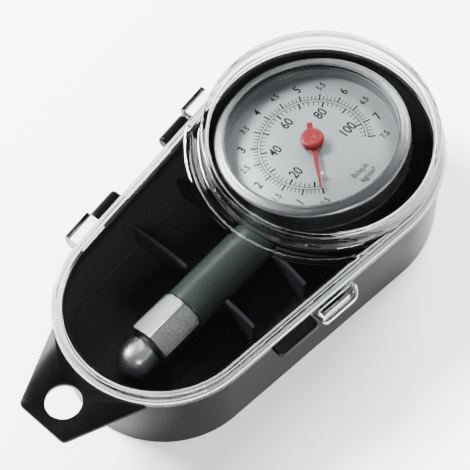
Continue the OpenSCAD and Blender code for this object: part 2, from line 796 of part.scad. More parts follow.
// The valve mouth's frame: the origin at the ball's centre, +Z out of the mouth.
module in_mouth() {
    in_gauge() translate([0, ball_y, 0]) rotate([90 + mouth_turn, 0, 0]) children();
}

module chuck_nose() {
    color([0.82, 0.83, 0.84]) difference() {
        in_gauge() translate([0, -nose_from, 0]) rotate([90, 0, 0]) rotate_extrude($fn = 96) polygon(concat(
            [[0, 0], [nose_r - 0.3, 0], [nose_r, 0.3]], arc([0, nose_straight], nose_r, 0, 90, 24)));
        in_gauge() along_stem(tube_r, nose_from - over, tube_to);
        in_gauge() along_stem(tube_bore, tube_to - over, -ball_y - 0.4);
        in_mouth() disc(mouth_r, mouth_in, nose_r + over);
    }
}

module chuck_seal() {
    color([0.04, 0.04, 0.04]) in_mouth() difference() {
        disc(mouth_r - 0.05, mouth_in + spider_t, mouth_in + spider_t + seal_t);
        disc(seal_bore, mouth_in, nose_r);
    }
}

module depressor() {
    color([0.75, 0.7, 0.5]) in_mouth() difference() {
        union() {
            disc(mouth_r - 0.05, mouth_in, mouth_in + spider_t);
            disc(depressor_r, mouth_in, mouth_in + depressor_len);
        }
        for (s = [-1, 1]) disc_at([0, s * 2.2], 0.9, mouth_in - over, mouth_in + spider_t + over);
    }
}

case_tray();
clear_lid();
gauge_shell();
bezel_ring();
window();
window_gasket();
dial_plate();
stop_pin();
pointer();
pointer_cap();
pointer_collar();
pinion_arbor();
hairspring();
sector_gear();
sector_arbor();
link();
tail_pin();
lower_plate();
upper_plate();
plate_pillars();
plate_screws();
block_screws();
socket_block();
bourdon_tube();
tube_tip();
stem_tube();
stem_sleeve();
ferrule();
chuck_neck();
chuck_nose();
chuck_seal();
depressor();
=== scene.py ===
"""Looks of a dial tyre pressure gauge that lies in its hinged carrying case.

Sizes in the classes are millimetres in the case's own frame; meshes are written in metres.
"""

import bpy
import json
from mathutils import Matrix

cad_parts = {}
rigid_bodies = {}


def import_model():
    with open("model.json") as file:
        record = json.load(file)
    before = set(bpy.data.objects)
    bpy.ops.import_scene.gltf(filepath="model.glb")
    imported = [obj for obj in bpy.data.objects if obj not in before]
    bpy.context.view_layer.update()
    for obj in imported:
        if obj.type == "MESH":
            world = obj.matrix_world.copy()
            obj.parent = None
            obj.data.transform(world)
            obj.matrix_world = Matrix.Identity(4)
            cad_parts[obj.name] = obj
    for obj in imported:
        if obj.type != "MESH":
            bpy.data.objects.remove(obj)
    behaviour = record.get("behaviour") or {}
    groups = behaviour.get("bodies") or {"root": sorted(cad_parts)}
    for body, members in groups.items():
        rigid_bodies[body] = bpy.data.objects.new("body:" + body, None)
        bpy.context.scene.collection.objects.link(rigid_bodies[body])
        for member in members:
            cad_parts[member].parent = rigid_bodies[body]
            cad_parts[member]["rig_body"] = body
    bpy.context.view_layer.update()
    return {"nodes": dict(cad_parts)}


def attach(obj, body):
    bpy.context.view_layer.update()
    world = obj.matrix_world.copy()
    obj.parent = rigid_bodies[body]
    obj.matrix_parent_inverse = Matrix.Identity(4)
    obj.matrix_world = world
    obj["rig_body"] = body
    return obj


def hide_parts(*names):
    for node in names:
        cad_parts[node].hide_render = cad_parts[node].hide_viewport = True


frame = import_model()

import json
import logging
import math
from dataclasses import dataclass
from enum import Enum

import bmesh
import bpy
import numpy as np
from mathutils import Matrix, Vector

MM = 0.001
WELD = 1e-7  # metres within which corners become one
SHARP = 35.0  # degrees of turn past which an edge is sharp
CAPITAL = 0.7  # height of a figure, as a share of its text's size
LOG = logging.getLogger("gauge_case")
Array = np.ndarray


class Side(Enum):
    """The two long sides of the case, as the sign of X."""

    HINGE = -1
    LATCH = 1


# ------------------------------------------------------------------ shader maths


class Value:
    """A socket that carries a number, with Math nodes behind its operators."""

    def __init__(self, shader: "Shader", socket: bpy.types.NodeSocket) -> None:
        """Keeps the socket and the shader that its nodes go to."""
        self.shader = shader
        self.socket = socket

    def _math(self, operation: str, *values: "Value | float") -> "Value":
        """Adds one Math node.

        Args:
            operation: The Math node's operation.
            values: What goes into its sockets, in order.

        Returns:
            The node's result.
        """
        return self.shader.add("ShaderNodeMath", {"operation": operation}, dict(enumerate(values)))

    def __add__(self, other: "Value | float") -> "Value":
        """Sum."""
        return self._math("ADD", self, other)

    def __radd__(self, other: float) -> "Value":
        """Sum, reflected."""
        return self._math("ADD", other, self)

    def __sub__(self, other: "Value | float") -> "Value":
        """Difference."""
        return self._math("SUBTRACT", self, other)

    def __rsub__(self, other: float) -> "Value":
        """Difference, reflected."""
        return self._math("SUBTRACT", other, self)

    def __mul__(self, other: "Value | float") -> "Value":
        """Product."""
        return self._math("MULTIPLY", self, other)

    def __rmul__(self, other: float) -> "Value":
        """Product, reflected."""
        return self._math("MULTIPLY", other, self)

    def clamped(self) -> "Value":
        """The value held between 0 and 1."""
        return self.shader.add("ShaderNodeClamp", {}, {"Value": self})

    def ramp(self, low: float, high: float) -> "Value":
        """0 below low, 1 above high, and straight between them."""
        return ((self - low) * (1.0 / (high - low))).clamped()


class Shader:
    """The nodes of one material, or of the world, and the ways to add to them."""

    # The Mix node's sockets for colours: both inputs and the result.
    MIX_A, MIX_B, MIX_RESULT = 6, 7, 2

    def __init__(self, name: str, world: bool = False) -> None:
        """Starts with nothing but an output.

        Args:
            name: The material's name, or the world's.
            world: Whether it is the world.
        """
        self.owner = (bpy.data.worlds if world else bpy.data.materials).new(name)
        self.owner.use_nodes = True
        self.tree = self.owner.node_tree
        self.tree.nodes.clear()
        self.output = self.tree.nodes.new(f"ShaderNodeOutput{'World' if world else 'Material'}")

    def add(self, kind: str, settings: dict, inputs: dict, out: int | str = 0) -> Value:
        """Adds a node.

        Args:
            kind: The node's type.
            settings: Its own settings, set first; "stops" fills a colour ramp.
            inputs: Socket name or number to a number, a tuple or a Value.
            out: Which output to return.

        Returns:
            The chosen output.
        """
        node = self.tree.nodes.new(kind)
        for key, value in settings.items():
            if key == "stops":
                self._fill(node.color_ramp, value)
            else:
                setattr(node, key, value)
        for key, value in inputs.items():
            if isinstance(value, Value):
                self.tree.links.new(value.socket, node.inputs[key])
            else:
                node.inputs[key].default_value = value
        return Value(self, node.outputs[out])

    def _fill(self, ramp: bpy.types.ColorRamp, stops: list[tuple[float, tuple]]) -> None:
        """Gives a colour ramp its stops, as (place, colour) pairs."""
        while len(ramp.elements) < len(stops):
            ramp.elements.new(1.0)
        for element, (place, colour) in zip(ramp.elements, stops):
            element.position = place
            element.color = (*colour, 1.0)

    def place(self) -> Value:
        """The point's own place on its piece, in metres."""
        return self.add("ShaderNodeTexCoord", {}, {}, "Object")

    def noise(self, scale: float, detail: float = 2.0, stretch: tuple = (1, 1, 1)) -> Value:
        """Fractal noise in the piece's own place.

        Args:
            scale: Cells per metre.
            detail: Number of finer layers.
            stretch: Scale along X, Y and Z, to draw the noise out into strokes.

        Returns:
            The noise, about 0.5.
        """
        spot = self.add("ShaderNodeMapping", {}, {"Vector": self.place(), "Scale": stretch})
        inputs = {"Vector": spot, "Scale": scale, "Detail": detail}
        return self.add("ShaderNodeTexNoise", {}, inputs)

    def blend(self, factor: Value, low: tuple | Value, high: tuple) -> Value:
        """A colour between two others."""
        first = low if isinstance(low, Value) else (*low, 1.0)
        inputs = {"Factor": factor, self.MIX_A: first, self.MIX_B: (*high, 1.0)}
        return self.add("ShaderNodeMix", {"data_type": "RGBA"}, inputs, self.MIX_RESULT)

    def bump(self, height: Value, depth_mm: float) -> Value:
        """A normal from a height field, depth_mm deep."""
        inputs = {"Height": height, "Distance": depth_mm * MM, "Strength": 1.0}
        return self.add("ShaderNodeBump", {}, inputs)

    def principled(self, **inputs: object) -> Value:
        """A Principled shader; underscores in names stand for spaces."""
        named = {key.replace("_", " "): value for key, value in inputs.items()}
        return self.add("ShaderNodeBsdfPrincipled", {}, named)

    def done(self, surface: Value) -> bpy.types.Material | bpy.types.World:
        """Links the surface to the output.

        Args:
            surface: The finished shader.

        Returns:
            The material, or the world.
        """
        self.tree.links.new(surface.socket, self.output.inputs["Surface"])
        return self.owner


# ------------------------------------------------------------------ finishes


@dataclass(frozen=True)
class Moulded:
    """Opaque moulded plastic or rubber with a fine grain."""

    name: str
    colour: tuple[float, float, float]
    roughness: float
    grain_mm: float = 0.25
    depth_mm: float = 0.006
    coat: float = 0.0
    specular: float = 0.2
    # Painted light: corners marked as inside are painted this many times lighter, standing in for
    # light in a shaded hollow.
    inside: float = 1.0
    index: float = 1.5

    def make(self) -> bpy.types.Material:
        """Builds the material. A point's attribute named inside raises its colour by that factor,
        as painted fill light for the tray's shaded hollow.
        """
        s = Shader(self.name)
        cloud = s.noise(90.0, 3.0)
        grain = s.noise(1000.0 / self.grain_mm, 2.0)
        light = tuple(1.3 * c + 0.0003 for c in self.colour)
        base = s.blend(cloud.ramp(0.35, 0.7), self.colour, light)
        # Painted fill light: the marked inside corners take a lighter copy of the same colour.
        if self.inside > 1.0:
            within = s.add("ShaderNodeAttribute", {"attribute_name": "inside"}, {}, "Fac")
            base = s.blend(within, base, tuple(self.inside * c for c in self.colour))
        return s.done(
            s.principled(
                Base_Color=base,
                Roughness=self.roughness + 0.12 * (cloud - 0.5),
                Normal=s.bump(grain, self.depth_mm),
                Specular_IOR_Level=self.specular,
                IOR=self.index,
                Coat_Weight=self.coat,
                Coat_Roughness=0.08,
            )
        )


@dataclass(frozen=True)
class Metal:
    """Plated or bare metal, with brush strokes where it is satin."""

    name: str
    colour: tuple[float, float, float]
    roughness: float
    stroke: tuple[float, float, float] = (1, 1, 1)
    depth_mm: float = 0.002
    metallic: float = 1.0

    def make(self) -> bpy.types.Material:
        """Builds the material."""
        s = Shader(self.name)
        strokes = s.noise(2500.0, 3.0, self.stroke)
        cloud = s.noise(120.0, 2.0)
        dark = tuple(0.86 * c for c in self.colour)
        return s.done(
            s.principled(
                Base_Color=s.blend(cloud.ramp(0.3, 0.6), dark, self.colour),
                Metallic=self.metallic,
                Roughness=self.roughness + 0.05 * (strokes - 0.5),
                Normal=s.bump(strokes, self.depth_mm),
            )
        )


@dataclass(frozen=True)
class Clear:
    """Clear moulded plastic. Shadow rays and rays from matt faces go straight through it."""

    name: str
    tint: tuple[float, float, float]
    roughness: float = 0.02
    index: float = 1.5

    def make(self) -> bpy.types.Material:
        """Builds the material."""
        s = Shader(self.name)
        smear = s.noise(60.0, 3.0)
        body = s.principled(
            Base_Color=(*self.tint, 1.0),
            Roughness=self.roughness * smear.ramp(0.4, 0.8),
            IOR=self.index,
            Transmission_Weight=1.0,
        )
        through = s.add("ShaderNodeBsdfTransparent", {}, {"Color": (*self.tint, 1.0)})
        shadow = s.add("ShaderNodeLightPath", {}, {}, "Is Shadow Ray")
        soft = s.add("ShaderNodeLightPath", {}, {}, "Is Diffuse Ray")
        return s.done(s.add("ShaderNodeMixShader", {}, {0: shadow + soft, 1: body, 2: through}))


@dataclass(frozen=True)
class Paint:
    """Metallic paint: fine flakes over a base, under a clear coat."""

    name: str
    colour: tuple[float, float, float]
    roughness: float = 0.35
    metallic: float = 0.4
    coat: float = 0.3
    specular: float = 0.25

    def make(self) -> bpy.types.Material:
        """Builds the material."""
        s = Shader(self.name)
        flake = s.noise(9000.0, 1.0)
        cloud = s.noise(70.0, 2.0)
        dark = tuple(0.9 * c for c in self.colour)
        mottle = (0.5 * flake + 0.5 * cloud).ramp(0.35, 0.6)
        return s.done(
            s.principled(
                Base_Color=s.blend(mottle, dark, self.colour),
                Metallic=self.metallic,
                Roughness=self.roughness + 0.1 * (flake - 0.5),
                Specular_IOR_Level=self.specular,
                Coat_Weight=self.coat,
                Coat_Roughness=0.1,
            )
        )


@dataclass(frozen=True)
class Finishes:
    """Every finish of the gauge and its case."""

    # The tray's inside is painted 8 times lighter than its outside: painted fill light for its
    # shaded hollow.
    tray: Moulded = Moulded(
        "black moulded tray", (0.0014, 0.0015, 0.0017), 0.22, 0.3, 0.0008, 0.0, 0.5, 8.0, 1.13
    )
    lid: Clear = Clear("clear lid", (0.94, 0.95, 0.952), 0.01, 1.45)
    # A pale opaque band under the clear rim: painted reflection, standing in for the bright band
    # that the rim's clear plastic reflects and bends.
    lid_foot: Moulded = Moulded("pale lid foot of painted reflection", (0.36, 0.37, 0.37), 0.35, 0.4, 0.01)
    window: Clear = Clear("clear window", (0.99, 0.995, 0.995), 0.01, 1.25)
    shell: Moulded = Moulded("black shell", (0.0015, 0.0015, 0.002), 0.35)
    bezel: Metal = Metal("satin bezel", (0.115, 0.12, 0.123), 0.25, (1, 1, 14), 0.0002)
    nut: Metal = Metal("satin nut", (0.24, 0.245, 0.24), 0.27, (14, 1, 14), 0.0008)
    nose: Metal = Metal("chrome nose", (0.5, 0.505, 0.505), 0.25, (1, 1, 1), 0.0)
    steel: Metal = Metal("turned steel", (0.3, 0.3, 0.31), 0.3)
    blued: Metal = Metal("blued spring", (0.08, 0.12, 0.22), 0.3)
    brass: Metal = Metal("stamped brass", (0.3, 0.2, 0.08), 0.32, (1, 12, 1))
    bronze: Metal = Metal("drawn bronze", (0.27, 0.16, 0.07), 0.3, (1, 1, 12))
    stem: Moulded = Moulded("dark stem", (0.0115, 0.0148, 0.0132), 0.22, 0.5, 0.001, 0.0, 0.15)
    rubber: Moulded = Moulded("rubber", (0.002, 0.002, 0.002), 0.6, 0.15, 0.01)
    dial: Paint = Paint("silver dial", (0.115, 0.122, 0.125), 0.38, 0.3, 0.0)
    # The rim's paint is darker than the dial's though both are the same silver: painted shade for
    # the recess under the window.
    surround: Paint = Paint("silver dial rim", (0.05, 0.054, 0.056), 0.4, 0.3, 0.0)
    ink: Moulded = Moulded("black print", (0.002, 0.0025, 0.003), 0.6, 0.1, 0.0, 0.0, 0.0)
    red: Paint = Paint("red paint", (0.085, 0.0025, 0.005), 0.4, 0.0, 0.0, 0.1)
    collar: Paint = Paint("dark collar", (0.006, 0.004, 0.004), 0.4, 0.0, 0.0, 0.1)
    pale: Paint = Paint("bright pin", (0.3, 0.3, 0.29), 0.3, 0.1, 0.0)

    def built(self) -> dict[str, bpy.types.Material]:
        """Field name to material."""
        return {key: getattr(self, key).make() for key in self.__dataclass_fields__}


# ------------------------------------------------------------------ meshes


def placed(name: str, data: bpy.types.ID) -> bpy.types.Object:
    """A new object at the origin that holds the data, linked to the scene."""
    piece = bpy.data.objects.new(name, data)
    bpy.context.scene.collection.objects.link(piece)
    return piece


def mesh_object(
    name: str, points: Array, faces: list, sharp_degrees: float = SHARP
) -> bpy.types.Object:
    """Makes a mesh with welded doubles, outward normals and smooth faces.

    Args:
        name: The piece's name.
        points: Corners, (n, 3), in millimetres.
        faces: Lists of corner numbers.
        sharp_degrees: Edges that turn more than this stay sharp.

    Returns:
        The object, at the origin.
    """
    mesh = bpy.data.meshes.new(name)
    mesh.from_pydata((np.asarray(points) * MM).tolist(), [], faces)
    tidy_mesh(mesh, sharp_degrees)
    return placed(name, mesh)


def tidy_mesh(mesh: bpy.types.Mesh, sharp_degrees: float, flatten: float = 0.0) -> None:
    """Welds a mesh, turns its faces outwards and smooths it.

    Args:
        mesh: The mesh to mend.
        sharp_degrees: Edges that turn more than this stay sharp.
        flatten: Faces that turn less than this many degrees become one.
    """
    work = bmesh.new()
    work.from_mesh(mesh)
    bmesh.ops.remove_doubles(work, verts=work.verts, dist=WELD)
    bmesh.ops.dissolve_degenerate(work, dist=WELD, edges=work.edges)
    if flatten:
        bmesh.ops.dissolve_limit(
            work, angle_limit=math.radians(flatten), verts=work.verts, edges=work.edges
        )
    bmesh.ops.recalc_face_normals(work, faces=work.faces)
    work.to_mesh(mesh)
    work.free()
    mesh.shade_smooth()
    mesh.set_sharp_from_angle(angle=math.radians(sharp_degrees))


def grid_faces(rows: int, columns: int, wrap_rows: bool) -> list:
    """Quads of a grid whose columns close on themselves.

    Corner (i, j) is number i * columns + j, and a quad takes (i, j), (i, j+1), (i+1, j+1) and
    (i+1, j).

    Args:
        rows: Number of loops.
        columns: Corners in a loop.
        wrap_rows: Whether the last loop joins the first.

    Returns:
        Lists of four corner numbers.
    """
    i = np.arange(rows if wrap_rows else rows - 1)[:, None]
    j = np.arange(columns)[None, :]
    here, below = i * columns, (i + 1) % rows * columns
    after = (j + 1) % columns
    corners = np.broadcast_arrays(here + j, here + after, below + after, below + j)
    return np.stack(corners, -1).reshape(-1, 4).tolist()


def grid_object(
    name: str, grid: Array, wrap_rows: bool = False, sharp: float = SHARP
) -> bpy.types.Object:
    """A closed surface from loops of points.

    Args:
        name: The piece's name.
        grid: (rows, columns, 3) in millimetres; every row is a closed loop.
        wrap_rows: Whether the last loop joins the first.
        sharp: Edges that turn more than this many degrees stay sharp.

    Returns:
        The object.
    """
    rows, columns, _ = grid.shape
    return mesh_object(name, grid.reshape(-1, 3), grid_faces(rows, columns, wrap_rows), sharp)


def lathe(profile: Array, count: int = 128) -> Array:
    """Turns a profile about Z.

    A pair (r, z) of the profile becomes the loop (r cos t, r sin t, z) for evenly spaced t.

    Args:
        profile: Radii and heights, (n, 2).
        count: Corners in a loop.

    Returns:
        Loops, (n, count, 3).
    """
    turn = np.linspace(0.0, 2 * np.pi, count, endpoint=False)
    profile = np.asarray(profile, float)
    r, z = profile[:, :1], profile[:, 1:]
    return np.stack([r * np.cos(turn), r * np.sin(turn), z + 0 * turn], -1)


def rounded(profile: list, steps: int = 5) -> Array:
    """Rounds the corners of a profile.

    A corner is (x, y) or (x, y, radius). A rounded one becomes a quadratic curve whose ends lie
    radius away from the corner along its two sides: (1-t)^2 a + 2t(1-t) corner + t^2 b. A point
    beside each end keeps the flat sides flat when the surface is smoothed.

    Args:
        profile: The corners of an open profile.
        steps: Pieces in each rounded corner.

    Returns:
        Points, (n, 2).
    """
    hold_gap, room = 0.06, 0.02
    spots = [np.array(p[:2], float) for p in profile]
    t = np.linspace(0, 1, steps + 1)[:, None]
    out = []
    for k, corner in enumerate(profile):
        if len(corner) < 3 or k in (0, len(profile) - 1):
            out.append(spots[k])
            continue
        spot, radius = spots[k], corner[2]
        before, after = spots[k - 1] - spot, spots[k + 1] - spot
        a = spot + before / np.linalg.norm(before) * radius
        b = spot + after / np.linalg.norm(after) * radius
        hold = 1.0 + hold_gap / radius
        if np.linalg.norm(before) > radius * hold + room:
            out.append(spot + (a - spot) * hold)
        out.extend((1 - t) ** 2 * a + 2 * t * (1 - t) * spot + t**2 * b)
        if np.linalg.norm(after) > radius * hold + room:
            out.append(spot + (b - spot) * hold)
    return np.array(out)


def prism(name: str, plan: Array, low: float, high: float) -> bpy.types.Object:
    """A flat plan (n, 2) carried straight up from z = low to z = high."""
    n = len(plan)
    bottom = np.column_stack([plan, np.full(n, low)])
    top = np.column_stack([plan, np.full(n, high)])
    faces = grid_faces(2, n, False) + [list(range(n)), list(range(n, 2 * n))]
    return mesh_object(name, np.concatenate([bottom, top]), faces)


def box_plan(x0: float, y0: float, x1: float, y1: float) -> Array:
    """The plan of a rectangle, by two of its corners."""
    return np.array([[x0, y0], [x1, y0], [x1, y1], [x0, y1]])


def moved(piece: bpy.types.Object, matrix: Matrix) -> bpy.types.Object:
    """Moves a piece's points, in millimetres, and leaves its object at the origin."""
    scale = Matrix.Scale(MM, 4)
    piece.data.transform(scale @ matrix @ scale.inverted())
    return piece


def bevelled(piece: bpy.types.Object, width: float, segments: int = 2) -> bpy.types.Object:
    """Rounds a piece's sharp edges by width millimetres."""
    mod = piece.modifiers.new("edges", "BEVEL")
    mod.width = width * MM
    mod.segments = segments
    mod.limit_method = "ANGLE"
    mod.angle_limit = math.radians(SHARP)
    mod.harden_normals = True
    return piece


def mark_inside(piece: bpy.types.Object, values: Array) -> bpy.types.Object:
    """Stores how far each corner belongs to the tray's inside, from 0 to 1; the material paints
    these corners lighter as painted light.
    """
    field = piece.data.attributes.new("inside", "FLOAT", "POINT")
    field.data.foreach_set("value", np.asarray(values, np.float32))
    return piece


def joined(name: str, pieces: list) -> bpy.types.Object:
    """Joins the meshes of some pieces into one new piece."""
    work = bmesh.new()
    for piece in pieces:
        work.from_mesh(piece.data)
        bpy.data.objects.remove(piece)
    mesh = bpy.data.meshes.new(name)
    work.to_mesh(mesh)
    work.free()
    return placed(name, mesh)


class Workshop:
    """Dresses pieces and ties them to the frame's bodies."""

    def __init__(self, finishes: dict[str, bpy.types.Material]) -> None:
        """Keeps the materials by name."""
        self.finishes = finishes

    def finish(
        self, piece: bpy.types.Object, finish: str, body: str, slot: str, *nodes: str
    ) -> bpy.types.Object:
        """Gives a piece its finish and body, and hides the CAD nodes that it stands for.

        Args:
            piece: The piece.
            finish: The name of its finish.
            body: The body that it moves with.
            slot: The record's material slot; not used.
            nodes: The CAD nodes that it stands for.

        Returns:
            The piece.
        """
        piece.data.materials.clear()
        piece.data.materials.append(self.finishes[finish])
        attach(piece, body)
        if nodes:
            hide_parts(*nodes)
        LOG.info("%s: %d corners, %s, on %s", piece.name, len(piece.data.vertices), finish, body)
        return piece

    def refine(self, node: str, finish: str, edge: float = 0.06) -> bpy.types.Object:
        """Replaces a CAD node by a welded copy of itself with softened edges.

        Args:
            node: The CAD node.
            finish: The name of its finish.
            edge: Width of the softened edges, in millimetres.

        Returns:
            The new piece.
        """
        source = frame["nodes"][node]
        mesh = source.data.copy()
        tidy_mesh(mesh, 28.0, 0.3)
        piece = placed(node + "_fine", mesh)
        if edge:
            bevelled(piece, edge, 1)
        return self.finish(piece, finish, source["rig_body"], node, node)


# ------------------------------------------------------------------ the case


def level_loop(radii: Array, turns: Array, height: float) -> Array:
    """Points (r cos t, r sin t, height)."""
    flat = [radii * np.cos(turns), radii * np.sin(turns)]
    return np.column_stack([*flat, np.full(len(turns), height)])


@dataclass(frozen=True)
class Outline:
    """The case's plan: two round ends and the straight sides between them."""

    head: float = 33.2
    tail: float = 28.0
    gap: float = 61.2
    count: int = 420

    @property
    def slope(self) -> float:
        """Angle between a straight side and the long axis."""
        return math.asin((self.head - self.tail) / self.gap)

    def along(self, share: float) -> float:
        """Distance down a straight side, as a share of its length."""
        return share * self.gap * math.cos(self.slope)

    def turns(self) -> Array:
        """Directions from the head's centre to count points spaced evenly along the edge."""
        a, r, q = self.slope, self.head, self.tail
        side = self.gap * math.cos(a)
        lengths = np.array([r * (math.pi + 2 * a), side, q * (math.pi - 2 * a), side])
        marks = np.concatenate([[0], np.cumsum(lengths)])
        s = np.linspace(0, marks[-1], self.count, endpoint=False)
        head_turn = -a + s / r
        tail_turn = math.pi + a + (s - marks[2]) / q
        first = r * np.array([math.cos(math.pi + a), math.sin(math.pi + a)])
        second = np.array([0, -self.gap]) + q * np.array([math.cos(a), -math.sin(a)])
        along = np.array([math.sin(a), -math.cos(a)])
        back = np.array([math.sin(a), math.cos(a)])
        spots = np.where(
            (s < marks[1])[:, None],
            r * np.column_stack([np.cos(head_turn), np.sin(head_turn)]),
            np.where(
                (s < marks[2])[:, None],
                first + (s - marks[1])[:, None] * along,
                np.where(
                    (s < marks[3])[:, None],
                    [0, -self.gap] + q * np.column_stack([np.cos(tail_turn), np.sin(tail_turn)]),
                    second + (s - marks[3])[:, None] * back,
                ),
            ),
        )
        return np.arctan2(spots[:, 1], spots[:, 0])

    def reach(self, offset: float, turns: Array) -> Array:
        """Distance from the head's centre to the edge, moved outwards by offset.

        The head's arc has radius head + offset. A side is the line whose distance from the
        centre is head + offset. The tail's arc solves |r u - c| = tail + offset for a direction u.
        """
        a = self.slope
        x, y = np.abs(np.cos(turns)), np.sin(turns)
        head, tail = self.head + offset, self.tail + offset
        across = x * math.cos(a) - y * math.sin(a)
        side = head / np.maximum(across, 1e-6)
        middle = -self.gap * y
        arc = middle + np.sqrt(np.maximum(middle**2 - self.gap**2 + tail**2, 0))
        corner = math.atan2(-self.gap - tail * math.sin(a), tail * math.cos(a))
        turn = np.arctan2(y, x)
        return np.where(turn > -a, head, np.where(turn > corner, side, arc))

    def loop(self, offset: float, height: float) -> Array:
        """The edge moved outwards by offset, at one height."""
        turns = self.turns()
        return level_loop(self.reach(offset, turns), turns, height)

    def ring(self, radius: float, height: float, edge: float, spare: float) -> Array:
        """A circle about the head's centre, held spare inside the edge that is moved by edge."""
        turns = self.turns()
        return level_loop(np.minimum(radius, self.reach(edge, turns) - spare), turns, height)

    def side_matrix(self, side: Side) -> Matrix:
        """Takes (outwards, towards the tail, up) on a straight side to the case's frame."""
        a, s = self.slope, side.value
        out = (s * math.cos(a), -math.sin(a), 0, 0)
        down = (-s * math.sin(a), -math.cos(a), 0, 0)
        origin = (s * self.head * math.cos(a), -self.head * math.sin(a), 0, 1)
        return Matrix((out, down, (0, 0, 1, 0), origin)).transposed()


@dataclass(frozen=True)
class Hinge:
    """What the lid's knuckles and the tray's lugs share. X runs out from the side, Z up."""

    share: float = 0.53
    axis_x: float = 1.9
    axis_z: float = 23.6
    barrel_r: float = 2.1
    pin_r: float = 1.0
    pin_length: float = 3.0
    lug_near: float = 9.6
    lug_length: float = 9.8
    gap: float = 0.3
    knuckle_length: float = 8.8

    @property
    def lug_middle(self) -> float:
        """From the hinge's middle to a lug's."""
        return self.lug_near + self.lug_length / 2

    @property
    def knuckle_middle(self) -> float:
        """From the hinge's middle to a knuckle's."""
        return self.lug_near + self.lug_length + self.gap + self.knuckle_length / 2


@dataclass(frozen=True)
class Latch:
    """What the lid's thumb tab and the tray's thumb lug share."""

    share: float = 0.57
    length: float = 13.2
    clear: float = 0.15


HINGE, LATCH = Hinge(), Latch()


def end_name(sign: int) -> str:
    """Which end of the case a hinge piece is near."""
    return "head" if sign < 0 else "tail"


def upright(middle: float) -> Matrix:
    """Lays a prism along a side: its plan stands on edge, and its height runs back from middle."""
    return Matrix(((1, 0, 0, 0), (0, 0, -1, middle), (0, 1, 0, 0), (0, 0, 0, 1)))


def arc(centre: tuple, radius: float, start: float, end: float, steps: int = 8) -> Array:
    """Points of an arc, from start to end degrees."""
    t = np.radians(np.linspace(start, end, steps + 1))
    return np.array(centre) + radius * np.column_stack([np.cos(t), np.sin(t)])


